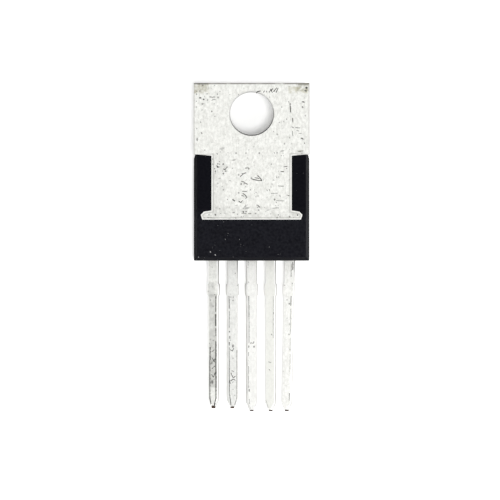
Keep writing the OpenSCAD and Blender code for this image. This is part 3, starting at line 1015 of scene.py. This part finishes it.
# Dark lines along the leads; those that start just below the moulding, at rows 261.5 to 263.6, are painted shade.
LEAD_STROKES = (
    EdgeStroke(5, 0.036, 0.42, (296.0, 304.0, 312.0)),
    EdgeStroke(5, 0.044, 0.40, (314.0, 320.0, 326.0)),
    EdgeStroke(5, 0.036, 0.44, (328.0, 336.0)),
    EdgeStroke(5, 0.050, 0.44, (341.0, 350.0, 362.0, 376.0)),
    EdgeStroke(5, 0.050, 0.46, (376.0, 386.0, 398.0, 406.0)),
    EdgeStroke(5, 0.046, -0.62, (347.0, 354.0, 360.0)),
    EdgeStroke(5, 0.042, -0.66, (360.0, 372.0, 386.0, 398.0, 404.0)),
    EdgeStroke(5, 0.018, -0.10, (286.4, 287.4)),
    EdgeStroke(4, 0.030, -0.58, (296.0, 303.0, 309.0)),
    EdgeStroke(4, 0.018, -0.57, (311.0, 328.0)),
    EdgeStroke(4, 0.034, -0.54, (331.0, 332.4)),
    EdgeStroke(4, 0.030, -0.48, (336.0, 338.6)),
    EdgeStroke(4, 0.034, -0.56, (342.0, 345.6)),
    EdgeStroke(4, 0.022, -0.56, (347.0, 358.0, 368.0)),
    EdgeStroke(4, 0.028, -0.54, (368.0, 380.0, 392.0, 405.0)),
    EdgeStroke(4, 0.020, 0.90, (350.0, 375.0, 398.0, 405.0)),
    EdgeStroke(3, 0.020, -0.90, (261.5, 265.5)),
    EdgeStroke(3, 0.028, -0.48, (296.0, 306.0, 317.0)),
    EdgeStroke(3, 0.022, -0.46, (317.0, 330.0, 343.0)),
    EdgeStroke(3, 0.036, -0.50, (345.6, 347.4)),
    EdgeStroke(3, 0.016, -0.54, (352.0, 356.0)),
    EdgeStroke(3, 0.014, -0.56, (366.0, 378.0, 388.0)),
    EdgeStroke(3, 0.034, -0.44, (389.0, 391.4)),
    EdgeStroke(3, 0.022, -0.42, (399.0, 404.0)),
    EdgeStroke(2, 0.014, 0.45, (296.0, 315.0, 338.0)),
    EdgeStroke(2, 0.012, -0.84, (400.0, 408.0)),
    EdgeStroke(1, 0.022, 0.30, (263.6, 272.0, 277.0)),
    EdgeStroke(1, 0.038, 0.90, (261.5, 270.0)),
    EdgeStroke(1, 0.018, 0.50, (282.6, 284.0)),
    EdgeStroke(1, 0.028, 0.36, (296.0, 300.0, 306.0)),
    EdgeStroke(1, 0.012, 0.36, (309.0, 322.0, 334.0)),
    EdgeStroke(1, 0.012, 0.36, (338.0, 348.0)),
    EdgeStroke(1, 0.028, 0.36, (348.6, 350.2)),
    EdgeStroke(1, 0.010, 0.40, (354.0, 372.0)),
    EdgeStroke(1, 0.024, 0.40, (393.0, 401.0)),
)

LEAD_SCRATCHES = (
    Stroke(0.020, ((250.4, 342.8), (253.4, 343.4), (254.0, 341.4))),
    Stroke(0.024, ((230.8, 372.8), (233.2, 378.0), (235.2, 376.2))),
    Stroke(0.022, ((230.8, 381.0), (233.0, 379.0), (235.4, 380.4))),
    Stroke(0.018, ((231.6, 370.6), (234.2, 371.6))),
    Stroke(0.022, ((230.4, 349.6), (232.4, 351.2), (233.8, 348.2))),
    Stroke(0.018, ((211.6, 352.0), (214.4, 349.6))),
    Stroke(0.022, ((211.8, 357.6), (214.8, 362.2))),
    Stroke(0.020, ((211.8, 368.8), (215.0, 365.8))),
    Stroke(0.026, ((211.6, 374.2), (213.4, 377.4), (215.2, 372.4))),
    Stroke(0.018, ((268.4, 361.8), (271.0, 362.6))),
    Stroke(0.014, ((268.8, 369.4), (270.2, 370.4))),
)


class ScratchTree:
    """Geometry nodes that sweep scratches along drawn lines and press them into the metal."""

    inputs = {"Step": 0.05 * MM, "Wander": 0.035 * MM, "Detail": 6500.0, "Uneven": 0.9, "Flatten": 0.06}

    def __init__(self) -> None:
        """Builds the tree."""
        tree = bpy.data.node_groups.new("Scratches along lines", "GeometryNodeTree")
        self.tree = tree
        graph = Graph(tree)
        tree.interface.new_socket(name="Lines", in_out="INPUT", socket_type="NodeSocketGeometry")
        for key, value in self.inputs.items():
            tree.interface.new_socket(name=key, in_out="INPUT", socket_type="NodeSocketFloat").default_value = value
        tree.interface.new_socket(name="Finish", in_out="INPUT", socket_type="NodeSocketMaterial")
        tree.interface.new_socket(name="Geometry", in_out="OUTPUT", socket_type="NodeSocketGeometry")
        given = graph.add("NodeGroupInput").outputs
        place = graph.add("GeometryNodeInputPosition").outputs[0]
        curve = graph.add("GeometryNodeMeshToCurve", {0: given["Lines"]}).outputs[0]
        curve = graph.add("GeometryNodeResampleCurve", {"Curve": curve, "Length": given["Step"]}, mode="LENGTH").outputs[0]
        noise = graph.add("ShaderNodeTexNoise", {"Vector": place, "Scale": given["Detail"], "Detail": 2.0})
        swing = graph.vector("SUBTRACT", noise.outputs["Color"], (0.5, 0.5, 0.5))
        level = graph.vector("MULTIPLY", swing, (2.0, 2.0, 0.0))
        drift = graph.add("ShaderNodeVectorMath", {0: level, "Scale": given["Wander"]}, operation="SCALE").outputs[0]
        curve = graph.add("GeometryNodeSetPosition", {"Geometry": curve, "Offset": drift}).outputs[0]
        half = graph.add("GeometryNodeInputNamedAttribute", {"Name": "half_w"}, data_type="FLOAT").outputs[0]
        rough = graph.add("ShaderNodeTexNoise", {"Vector": place, "Scale": given["Detail"], "Detail": 3.0}).outputs[0]
        uneven = graph.math("MULTIPLY", graph.math("SUBTRACT", rough, 0.5), given["Uneven"])
        radius = graph.math("MULTIPLY", half, graph.math("ADD", graph.math("MULTIPLY", uneven, 2.0), 1.0))
        curve = graph.add("GeometryNodeSetCurveRadius", {"Curve": curve, "Radius": radius}).outputs[0]
        ring = graph.add("GeometryNodeCurvePrimitiveCircle", {"Resolution": 6, "Radius": 1.0}).outputs[0]
        sweep = graph.add("GeometryNodeCurveToMesh", {"Curve": curve, "Profile Curve": ring, "Fill Caps": True})
        if "Scale" in sweep.inputs:
            tree.links.new(graph.add("GeometryNodeInputRadius").outputs[0], sweep.inputs["Scale"])
        base = graph.add("GeometryNodeInputNamedAttribute", {"Name": "level"}, data_type="FLOAT").outputs[0]
        parts = graph.add("ShaderNodeSeparateXYZ", {0: place}).outputs
        above = graph.math("MULTIPLY", graph.math("SUBTRACT", parts[2], base), given["Flatten"])
        flat = graph.add("ShaderNodeCombineXYZ", {0: parts[0], 1: parts[1], 2: graph.math("ADD", base, above)}).outputs[0]
        solid = graph.add("GeometryNodeSetPosition", {"Geometry": sweep.outputs[0], "Position": flat}).outputs[0]
        solid = graph.add("GeometryNodeRealizeInstances", {0: solid}).outputs[0]
        solid = graph.add("GeometryNodeSetMaterial", {"Geometry": solid, "Material": given["Finish"]}).outputs[0]
        graph.add("NodeGroupOutput", {0: solid})


def run_tree(name: str, mesh: bpy.types.Mesh, tree: bpy.types.NodeTree, values: dict[str, object]) -> bpy.types.Object:
    """Runs a tree on a mesh and keeps its result as a plain mesh.

    Args:
        name: name of the piece.
        mesh: what the tree starts from.
        tree: the tree.
        values: the tree's inputs by name.

    Returns:
        The new piece.
    """
    source = bpy.data.objects.new(name + "_raw", mesh)
    bpy.context.scene.collection.objects.link(source)
    modifier = source.modifiers.new("Tree", "NODES")
    modifier.node_group = tree
    sockets = {item.name: item.identifier for item in tree.interface.items_tree if item.item_type == "SOCKET"
               and item.in_out == "INPUT"}
    for key, value in values.items():
        modifier[sockets[key]] = value
    return plain_mesh(source, name)


class Scratches:
    """Fine scratches and dark edge lines, drawn where the photograph shows them; the edge lines where the leads leave
    the moulding are painted shade.
    """

    plate_weight = 1.95
    lead_weight = 1.3

    def __init__(self, tree: ScratchTree, finish: bpy.types.Material) -> None:
        """Keeps the tree and the finish."""
        self.tree = tree
        self.finish = finish

    def build(self) -> list[bpy.types.Object]:
        """Builds the scratches of the tab and those of the leads.

        Returns:
            The two pieces.
        """
        plate = [(s.half_w * self.plate_weight, self._on_plane(s, 0.0)) for s in (*HEAD_STROKES, *NECK_STROKES)]
        leads = [(s.half_w * self.lead_weight, self._on_plane(s, LEADS.plane)) for s in LEAD_SCRATCHES]
        leads += [(s.half_w, self._on_lead(s)) for s in LEAD_STROKES]
        made = []
        sunk = -FACE_SINK / MM
        for name, strokes, level, wander in (
                ("tab_scratches", plate, sunk, 0.035), ("lead_scratches", leads, LEADS.plane, 0.02)):
            mesh = self._lines(name, strokes, level)
            piece = run_tree(name, mesh, self.tree.tree, {"Finish": self.finish, "Wander": wander * MM})
            carry(piece, Slot.TIN)
            made.append(piece)
        return made

    @staticmethod
    def _on_plane(stroke: Stroke, height: float) -> list[Point]:
        """Returns a scratch's points on a plane, in millimetres."""
        return [PHOTO.on_plane(spot, height) for spot in stroke.spots]

    @staticmethod
    def _on_lead(stroke: EdgeStroke) -> list[Point]:
        """Returns an edge line's points, which stay on the lead's plated face, in millimetres."""
        points = []
        for row in stroke.rows:
            y = PHOTO.on_plane((PHOTO.middle_px, row), LEADS.plane)[1]
            y = min(y, LEADS.root - 0.02)
            half = LEADS.half_width(stroke.lead, y)
            left, right = LEADS.roll[stroke.lead - 1]
            offset = max(left - half, min(half - right, stroke.across * half))
            points.append((LEADS.centre_x(stroke.lead, y) + offset, y))
        return points

    @staticmethod
    def _lines(name: str, strokes: list[tuple[float, list[Point]]], level: float) -> bpy.types.Mesh:
        """Makes a mesh of bare edges with each scratch's half width.

        Args:
            name: name of the mesh.
            strokes: half width and points of each scratch, in millimetres.
            level: height of the face that they lie in, in millimetres.

        Returns:
            The mesh.
        """
        verts, edges, widths = [], [], []
        for half_w, points in strokes:
            edges += [(len(verts) + i, len(verts) + i + 1) for i in range(len(points) - 1)]
            verts += [(x * MM, y * MM, level * MM) for x, y in points]
            widths += [half_w * MM] * len(points)
        mesh = bpy.data.meshes.new(name)
        mesh.from_pydata(verts, edges, [])
        mesh.attributes.new("half_w", "FLOAT", "POINT").data.foreach_set("value", widths)
        mesh.attributes.new("level", "FLOAT", "POINT").data.foreach_set("value", [level * MM] * len(verts))
        return mesh


class DustTree:
    """Geometry nodes that scatter small flecks over a face, add placed specks, and press them all flat."""

    sizes = {"Density": 1.0, "Smallest": 0.012 * MM, "Largest": 0.04 * MM, "Level": 0.0, "Flatten": 0.06}

    def __init__(self) -> None:
        """Builds the tree."""
        tree = bpy.data.node_groups.new("Flecks on a face", "GeometryNodeTree")
        self.tree = tree
        graph = Graph(tree)
        tree.interface.new_socket(name="Face", in_out="INPUT", socket_type="NodeSocketGeometry")
        for key, value in self.sizes.items():
            tree.interface.new_socket(name=key, in_out="INPUT", socket_type="NodeSocketFloat").default_value = value
        tree.interface.new_socket(name="Seed", in_out="INPUT", socket_type="NodeSocketInt").default_value = 7
        tree.interface.new_socket(name="Finish", in_out="INPUT", socket_type="NodeSocketMaterial")
        tree.interface.new_socket(name="Geometry", in_out="OUTPUT", socket_type="NodeSocketGeometry")
        given = graph.add("NodeGroupInput").outputs
        fleck = graph.add("GeometryNodeMeshIcoSphere", {"Radius": 1.0, "Subdivisions": 2}).outputs[0]
        turn = graph.add("FunctionNodeRandomValue", {0: (0.0, 0.0, 0.0), 1: (6.28, 6.28, 6.28), "Seed": given["Seed"]},
                         data_type="FLOAT_VECTOR").outputs[0]
        chance = graph.add("FunctionNodeRandomValue", {2: given["Smallest"], 3: given["Largest"], "Seed": given["Seed"]},
                           data_type="FLOAT").outputs[1]
        drawn = graph.add("GeometryNodeInputNamedAttribute", {"Name": "speck"}, data_type="FLOAT").outputs[0]
        spread = graph.add("GeometryNodeDistributePointsOnFaces", {
            "Mesh": given["Face"], "Density": given["Density"], "Seed": given["Seed"]}).outputs[0]
        placed = graph.add("GeometryNodeMeshToPoints", {
            "Mesh": given["Face"], "Selection": graph.add("FunctionNodeCompare", {0: drawn, 1: UM}).outputs[0]}).outputs[0]
        join = graph.add("GeometryNodeJoinGeometry")
        for points, size in ((spread, chance), (placed, drawn)):
            form = graph.add("ShaderNodeVectorMath", {0: (1.3, 0.8, 0.8), "Scale": size}, operation="SCALE").outputs[0]
            flecks = graph.add("GeometryNodeInstanceOnPoints", {
                "Points": points, "Instance": fleck, "Rotation": turn, "Scale": form}).outputs[0]
            tree.links.new(graph.add("GeometryNodeRealizeInstances", {0: flecks}).outputs[0], join.inputs[0])
        parts = graph.add("ShaderNodeSeparateXYZ", {0: graph.add("GeometryNodeInputPosition").outputs[0]}).outputs
        above = graph.math("MULTIPLY", graph.math("SUBTRACT", parts[2], given["Level"]), given["Flatten"])
        height = graph.math("ADD", given["Level"], above)
        flat = graph.add("ShaderNodeCombineXYZ", {0: parts[0], 1: parts[1], 2: height}).outputs[0]
        solid = graph.add("GeometryNodeSetPosition", {"Geometry": join.outputs[0], "Position": flat}).outputs[0]
        solid = graph.add("GeometryNodeRealizeInstances", {0: solid}).outputs[0]
        solid = graph.add("GeometryNodeSetMaterial", {"Geometry": solid, "Material": given["Finish"]}).outputs[0]
        graph.add("NodeGroupOutput", {0: solid})


@dataclass(frozen=True)
class Speck:
    """A pale speck on the moulding: its place in the photograph and its radius in millimetres."""

    spot: Point
    radius: float


SPECKS = (
    Speck((210.4, 251.9), 0.072), Speck((215.3, 255.0), 0.062), Speck((196.4, 257.2), 0.037),
    Speck((225.3, 239.2), 0.034), Speck((239.3, 239.3), 0.034), Speck((228.2, 233.3), 0.025),
    Speck((217.7, 225.2), 0.022), Speck((233.2, 257.0), 0.025), Speck((212.3, 247.8), 0.019),
    Speck((219.6, 250.2), 0.019), Speck((278.2, 254.3), 0.020), Speck((280.2, 254.1), 0.016),
    Speck((204.6, 257.8), 0.019), Speck((297.2, 173.9), 0.017), Speck((303.3, 173.2), 0.015),
    Speck((296.6, 190.6), 0.012), Speck((240.8, 246.0), 0.016), Speck((246.0, 251.6), 0.015),
)


class Dust:
    """Pale flecks on the moulding's back, thickest near its lower left corner."""

    corner = ((-4.6, -12.5), (-2.2, -10.3))
    whole = ((-4.6, -12.5), (4.6, -9.6))
    reach = 4.7

    def __init__(self, tree: DustTree, finish: bpy.types.Material) -> None:
        """Keeps the tree and the finish."""
        self.tree = tree
        self.finish = finish

    def build(self) -> bpy.types.Object:
        """Builds the flecks.

        Returns:
            The piece.
        """
        verts, faces = [], []
        for (x0, y0), (x1, y1) in (self.corner, self.whole):
            faces.append(tuple(range(len(verts), len(verts) + 4)))
            verts += [(x, y) for x, y in ((x0, y0), (x1, y0), (x1, y1), (x0, y1))]
        sizes = [0.0] * len(verts)
        for speck in SPECKS:
            x, y = PHOTO.on_plane(speck.spot, 0.0)
            verts.append((max(-self.reach, min(self.reach, x)), y))
            sizes.append(speck.radius * MM)
        mesh = bpy.data.meshes.new("dust_ground")
        mesh.from_pydata([(x * MM, y * MM, -FACE_SINK) for x, y in verts], [], faces)
        mesh.attributes.new("speck", "FLOAT", "POINT").data.foreach_set("value", sizes)
        piece = run_tree("mould_dust", mesh, self.tree.tree, {
            "Density": 2.4e5, "Seed": 11, "Finish": self.finish, "Level": -FACE_SINK,
            "Smallest": 0.010 * MM, "Largest": 0.030 * MM})
        carry(piece, Slot.MOULD)
        return piece


@dataclass(frozen=True)
class Lamp:
    """A soft, even lamp: its strength, its width in degrees, where it stands, and whether metal mirrors it."""

    name: str
    strength: float
    width: float
    stands: tuple[float, float, float]
    mirrored: bool

    def build(self) -> None:
        """Makes the lamp."""
        data = bpy.data.lights.new(self.name, "SUN")
        data.energy = self.strength
        data.angle = math.radians(self.width)
        lamp = bpy.data.objects.new(self.name, data)
        lamp.rotation_euler = Vector(self.stands).to_track_quat("Z", "Y").to_euler()
        lamp.visible_glossy = self.mirrored
        bpy.context.scene.collection.objects.link(lamp)


@dataclass(frozen=True)
class Studio:
    """Plain soft light, a white floor and the camera."""

    floor_z: float = -4.45
    floor_half: float = 2.0
    floor_colour: Colour = (0.90, 0.90, 0.90)
    floor_lift: float = 0.33
    # Weaker glow of the floor under the tab's hole, a painted shade.
    hole_shade_lift: float = 0.055
    sky: float = 0.45
    lamps: tuple[Lamp, ...] = (
        Lamp("Key", 1.85, 12.0, (0.075, -0.115, 1.0), False),
        Lamp("Sheen", 0.30, 30.0, (0.60, -0.35, 1.0), True),
        Lamp("Side", 0.45, 24.0, (1.0, -0.15, 0.38), False))

    def build(self) -> None:
        """Makes the floor, the world, the lamps and the camera."""
        self._floor()
        self._world()
        for lamp in self.lamps:
            lamp.build()
        self._camera()
        bpy.context.scene.view_settings.view_transform = "Standard"

    @staticmethod
    def _seen(graph: Graph) -> bpy.types.NodeSocket:
        """Returns 1 for rays from the camera and for mirrored or refracted ones, and 0 for the rest."""
        path = graph.add("ShaderNodeLightPath").outputs
        either = graph.math("MAXIMUM", path["Is Camera Ray"], path["Is Glossy Ray"])
        return graph.math("MAXIMUM", either, path["Is Transmission Ray"])

    def _floor(self) -> None:
        """Makes a white floor that keeps the shadow and is clear from below; under the tab's hole it glows less, a
        painted shade.
        """
        half = self.floor_half
        mesh = bpy.data.meshes.new("floor")
        height = self.floor_z * MM
        mesh.from_pydata([(-half, -half, height), (half, -half, height), (half, half, height), (-half, half, height)],
                         [], [(0, 1, 2, 3)])
        material, graph = new_material("white floor")
        grain = graph.add("ShaderNodeTexNoise", {"Scale": 400.0, "Detail": 3.0}).outputs[0]
        tone = graph.blend(grain, tuple(0.995 * c for c in self.floor_colour), self.floor_colour)
        paper = graph.add("ShaderNodeBsdfDiffuse", {"Color": tone}).outputs[0]
        place = graph.add("ShaderNodeTexCoord").outputs["Object"]
        level = graph.add("ShaderNodeVectorMath", {0: place, 1: (1.0, 1.0, 0.0)}, operation="MULTIPLY").outputs[0]
        away = graph.add("ShaderNodeVectorMath", {0: level}, operation="LENGTH").outputs["Value"]
        # Painted shade: the floor's glow drops under the tab's hole.
        lift = graph.remap(away, 2.0 * MM, 2.6 * MM, self.hole_shade_lift, self.floor_lift)
        glow = graph.add("ShaderNodeEmission", {
            "Color": (1.0, 1.0, 1.0, 1.0), "Strength": graph.math("MULTIPLY", self._seen(graph), lift)}).outputs[0]
        both = graph.add("ShaderNodeAddShader", {0: paper, 1: glow}).outputs[0]
        clear = graph.add("ShaderNodeBsdfTransparent").outputs[0]
        below = graph.add("ShaderNodeNewGeometry").outputs["Backfacing"]
        mix = graph.add("ShaderNodeMixShader", {0: below, 1: both, 2: clear}).outputs[0]
        graph.add("ShaderNodeOutputMaterial", {"Surface": mix})
        mesh.materials.append(material)
        floor = bpy.data.objects.new("floor", mesh)
        bpy.context.scene.collection.objects.link(floor)

    def _world(self) -> None:
        """Makes a white surround: full white where it is seen, and softer where it lights."""
        world = bpy.data.worlds.new("surround")
        world.use_nodes = True
        graph = Graph(world.node_tree)
        strength = graph.remap(self._seen(graph), 0.0, 1.0, self.sky, 1.0)
        light = graph.add("ShaderNodeBackground", {"Color": (1.0, 1.0, 1.0, 1.0), "Strength": strength}).outputs[0]
        graph.add("ShaderNodeOutputWorld", {"Surface": light})
        bpy.context.scene.world = world

    def _camera(self) -> None:
        """Makes a camera that looks straight down, as in the photograph."""
        data = bpy.data.cameras.new("Photograph")
        data.sensor_width = 36.0
        data.lens = data.sensor_width * PHOTO.distance / PHOTO.field()
        data.clip_start = 0.01
        data.clip_end = 10.0
        camera = bpy.data.objects.new("Photograph", data)
        x, y = PHOTO.centre()
        camera.location = (x * MM, y * MM, PHOTO.distance * MM)
        bpy.context.scene.collection.objects.link(camera)
        bpy.context.scene.camera = camera


HEAD_PATCHES = (
    Patch((200.0, 87.6), (7.5, 4.4), None, 1.00, colour=(0.44, 0.42, 0.31), mottle=3.0),
    Patch((200.6, 83.6), (7.0, 0.7), None, 1.00, colour=(0.06, 0.055, 0.05), mottle=2.0),
    Patch((303.4, 83.9), (5.2, 0.8), None, 1.00, colour=(0.06, 0.055, 0.05), mottle=2.0),
    Patch((303.2, 86.8), (5.6, 3.4), None, 1.00, colour=(0.36, 0.35, 0.29), mottle=3.0),
    Patch((197.6, 88.4), (4.0, 2.6), Mark.BLOTCH, 0.75, cover=0.75),
    Patch((203.0, 96.0), (11.0, 7.0), Mark.TICK, 0.75, cover=0.30, angle=80.0),
    Patch((204.0, 95.0), (12.0, 8.0), Mark.PIT, 0.65, cover=0.35),
    Patch((195.6, 97.0), (2.4, 6.0), Mark.PIT, 0.80, cover=0.7),
    Patch((298.0, 90.0), (9.0, 2.4), None, 0.60, colour=(0.50, 0.48, 0.34)),
    Patch((296.0, 89.6), (11.0, 2.6), Mark.TICK, 0.70, cover=0.6, angle=90.0, colour=(0.22, 0.21, 0.15)),
    Patch((306.0, 88.0), (2.6, 3.4), Mark.BLOTCH, 0.85, cover=0.7),
    Patch((298.0, 110.0), (9.0, 22.0), Mark.TICK, 0.50, cover=0.22, angle=90.0),
    Patch((298.0, 131.0), (9.0, 9.0), Mark.TICK, 0.50, cover=0.30, angle=90.0),
    Patch((302.0, 105.0), (6.0, 12.0), Mark.PIT, 0.50, cover=0.30),
    Patch((195.4, 145.0), (2.0, 10.0), Mark.BLOTCH, 0.70, cover=0.35),
    Patch((300.0, 151.0), (3.0, 0.8), None, 0.75, colour=(0.36, 0.36, 0.28)),
    Patch((251.0, 120.0), (58.0, 38.0), None, 0.05, colour=(0.62, 0.62, 0.58), mottle=3.0),
    Patch((218.0, 186.0), (5.0, 28.0), None, 0.34, colour=(0.50, 0.50, 0.47), mottle=2.0),
    Patch((222.0, 168.0), (10.0, 8.0), Mark.PIT, 0.75, cover=0.40),
    Patch((251.0, 186.0), (40.0, 31.0), Mark.PIT, 0.60, cover=0.28),
    Patch((251.0, 186.0), (40.0, 31.0), Mark.TICK, 0.50, cover=0.22, angle=75.0),
    Patch((244.0, 190.0), (9.0, 16.0), Mark.TICK, 0.70, cover=0.40, angle=60.0),
    Patch((275.0, 200.0), (13.0, 15.0), Mark.HAIRLINE, 0.60, cover=0.5, angle=90.0),
    Patch((251.0, 213.0), (50.0, 5.0), None, 0.30, colour=(0.46, 0.46, 0.43)),
    Patch((251.0, 213.0), (50.0, 5.0), Mark.PIT, 0.70, cover=0.45),
    Patch((246.0, 212.6), (20.0, 1.0), Mark.TICK, 0.75, cover=0.6, angle=90.0),
)

LEAD_FIVE_PATCHES = (
    Patch((211.4, 289.6), (2.4, 6.4), None, 0.60, height=-2.4, colour=(0.45, 0.45, 0.425), mottle=1.6),
    Patch((213.1, 341.0), (3.1, 46.0), None, 1.00, height=-2.4, colour=(0.45, 0.45, 0.425), mottle=1.4),
    Patch((213.1, 318.0), (2.7, 26.0), Mark.PIT, 0.60, cover=0.55, height=-2.4, colour=(0.25, 0.25, 0.235)),
    Patch((213.2, 364.0), (2.8, 20.0), Mark.BLOTCH, 0.75, cover=0.32, height=-2.4, colour=(0.05, 0.05, 0.045)),
    Patch((213.2, 364.0), (2.8, 21.0), Mark.TICK, 0.75, cover=0.30, angle=35.0, height=-2.4, colour=(0.06, 0.06, 0.055)),
)

LEAD_FOUR_PATCHES = (
    Patch((232.0, 349.0), (3.0, 5.0), Mark.BLOTCH, 0.80, cover=0.50, height=-2.4, colour=(0.08, 0.08, 0.075)),
    Patch((232.4, 374.0), (3.2, 9.0), Mark.TICK, 0.80, cover=0.50, angle=30.0, height=-2.4),
    Patch((232.0, 335.0), (4.0, 70.0), Mark.PIT, 0.45, cover=0.30, height=-2.4),
)

LEAD_THREE_PATCHES = (
    Patch((252.0, 350.0), (4.0, 14.0), Mark.PIT, 0.45, cover=0.35, height=-2.4),
)

LEAD_ONE_PATCHES = (
    Patch((289.0, 330.0), (5.0, 60.0), Mark.PIT, 0.40, cover=0.25, height=-2.4),
)


class Package:
    """The whole part: its finishes, its pieces and the marks on them."""

    hidden_nodes = {
        "die_attach": Slot.SOLDER, "regulator_die": Slot.SILICON,
        "bond_wire_1a": Slot.WIRE, "bond_wire_1b": Slot.WIRE, "bond_wire_2a": Slot.WIRE, "bond_wire_2b": Slot.WIRE,
        "bond_wire_3a": Slot.WIRE, "bond_wire_3b": Slot.WIRE, "bond_wire_4": Slot.WIRE, "bond_wire_5": Slot.WIRE}

    def __init__(self) -> None:
        """Builds the shared effects and every finish."""
        effects = SharedEffects()
        self.tin = TinFinish("matte tin, tab", patches=HEAD_PATCHES, rim=True,
                             top_edge_shade=HeatTab.head_y * MM).build(effects)
        bright = (0.985, 0.985, 0.958)
        lead_tins = {
            1: TinFinish("matte tin, lead 1", patches=LEAD_ONE_PATCHES, light=bright, dark=(0.76, 0.76, 0.72), pits=0.06),
            2: TinFinish("matte tin, lead 2", light=(0.885, 0.888, 0.845), dark=(0.775, 0.778, 0.735), pits=0.03),
            3: TinFinish("matte tin, lead 3", patches=LEAD_THREE_PATCHES, light=(0.955, 0.955, 0.93), dark=(0.80, 0.80, 0.77), pits=0.05),
            4: TinFinish("matte tin, lead 4", patches=LEAD_FOUR_PATCHES, light=(0.900, 0.903, 0.880), dark=(0.70, 0.703, 0.675)),
            5: TinFinish("matte tin, lead 5", patches=LEAD_FIVE_PATCHES, light=(0.930, 0.932, 0.900), dark=(0.66, 0.662, 0.625))}
        self.lead_tins = {number: finish.build(effects) for number, finish in lead_tins.items()}
        # Copies of the tin for the rolled edges: a paler one, a painted highlight, and a darker one, painted shade over
        # some rubbing that deepens near the moulding.
        rolled_highlight = SimpleFinish(
            "rolled tin edge", (0.86, 0.86, 0.84), (0.96, 0.96, 0.94), 1.0, 0.30, 7000.0, 6.0).build(effects)
        rubbed_and_shaded = SimpleFinish(
            "rubbed tin edge", (0.68, 0.68, 0.66), (0.90, 0.90, 0.88), 1.0, 0.38, 6000.0, 5.0,
            tarnish=0.75).build(effects)
        self.sheared = ShearedFinish(
            "sheared tin", (0.74, 0.74, 0.71), (0.58, 0.57, 0.54), -0.45 * MM, 0.25).build(effects)
        lead_side = ShearedFinish(
            "sheared lead side", (0.86, 0.86, 0.83), (0.76, 0.76, 0.73), -2.55 * MM, 0.16).build(effects)
        self.bare = ShearedFinish(
            "bare copper end", (0.52, 0.40, 0.33), (0.40, 0.28, 0.22), -0.45 * MM, 0.6).build(effects)
        cut = ShearedFinish(
            "cut copper tip", (0.050, 0.031, 0.024), (0.115, 0.066, 0.046), -2.55 * MM, 0.6).build(effects)
        self.lead_edges = (lead_side, cut, rolled_highlight, rubbed_and_shaded)
        # The hole's rim, with painted shade on one side.
        self.rim = HoleRimShadeFinish().build(effects)
        self.compound = MouldFinish().build(effects)
        # Shaded and lit copies of the compound: painted shade on the walls, a painted highlight on the right wall.
        self.walls = MouldFinish("mould compound, shaded walls", sheen=0.018).build(effects)
        self.lit_right_wall = MouldFinish("mould compound, lit right wall", sheen=0.08).build(effects)
        # The finish of the scratches and of the dark edge lines, which are painted shade where the leads leave the
        # moulding.
        self.scratch = SimpleFinish("tarnished scratch and painted shade line", (0.014, 0.014, 0.013), (0.14, 0.14, 0.13), 0.6, 0.55, 9000.0).build(effects)
        self.dust = SimpleFinish("pale dust", (0.15, 0.15, 0.15), (0.48, 0.48, 0.465), 0.0, 0.8, 20000.0).build(effects)
        self.inner = {
            Slot.SOLDER: SimpleFinish("die solder", (0.38, 0.38, 0.39), (0.62, 0.62, 0.63), 1.0, 0.35, 5000.0),
            Slot.SILICON: SimpleFinish("silicon", (0.07, 0.08, 0.11), (0.20, 0.21, 0.25), 0.4, 0.22, 9000.0, 3.0),
            Slot.WIRE: SimpleFinish("drawn aluminium", (0.70, 0.70, 0.71), (0.90, 0.90, 0.90), 1.0, 0.28, 12000.0, 8.0)}
        self.inner = {slot: finish.build(effects) for slot, finish in self.inner.items()}

    def build(self) -> None:
        """Builds every piece in order."""
        side, *edges = self.lead_edges
        HeatTab((self.tin, self.sheared, self.bare, self.rim, self.lead_tins[3], *edges)).build()
        for number in (1, 2, 4, 5):
            OuterLead(number, (self.lead_tins[number], side, *edges)).build()
        Moulding(self.compound, self.walls, self.lit_right_wall).build()
        for node, slot in self.hidden_nodes.items():
            self._dress(node, slot)
        Scratches(ScratchTree(), self.scratch).build()
        Dust(DustTree(), self.dust).build()

    def _dress(self, node: str, slot: Slot) -> None:
        """Gives a CAD node that keeps its shape its finish."""
        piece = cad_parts[node]
        piece.data.materials.clear()
        piece.data.materials.append(self.inner[slot])
        LOG.info("%s: kept, %s", node, self.inner[slot].name)


def main() -> None:
    """Builds the part and the studio."""
    logging.basicConfig(level=logging.INFO, format="%(message)s")
    Package().build()
    Studio().build()


if __name__ == "__main__":
    main()
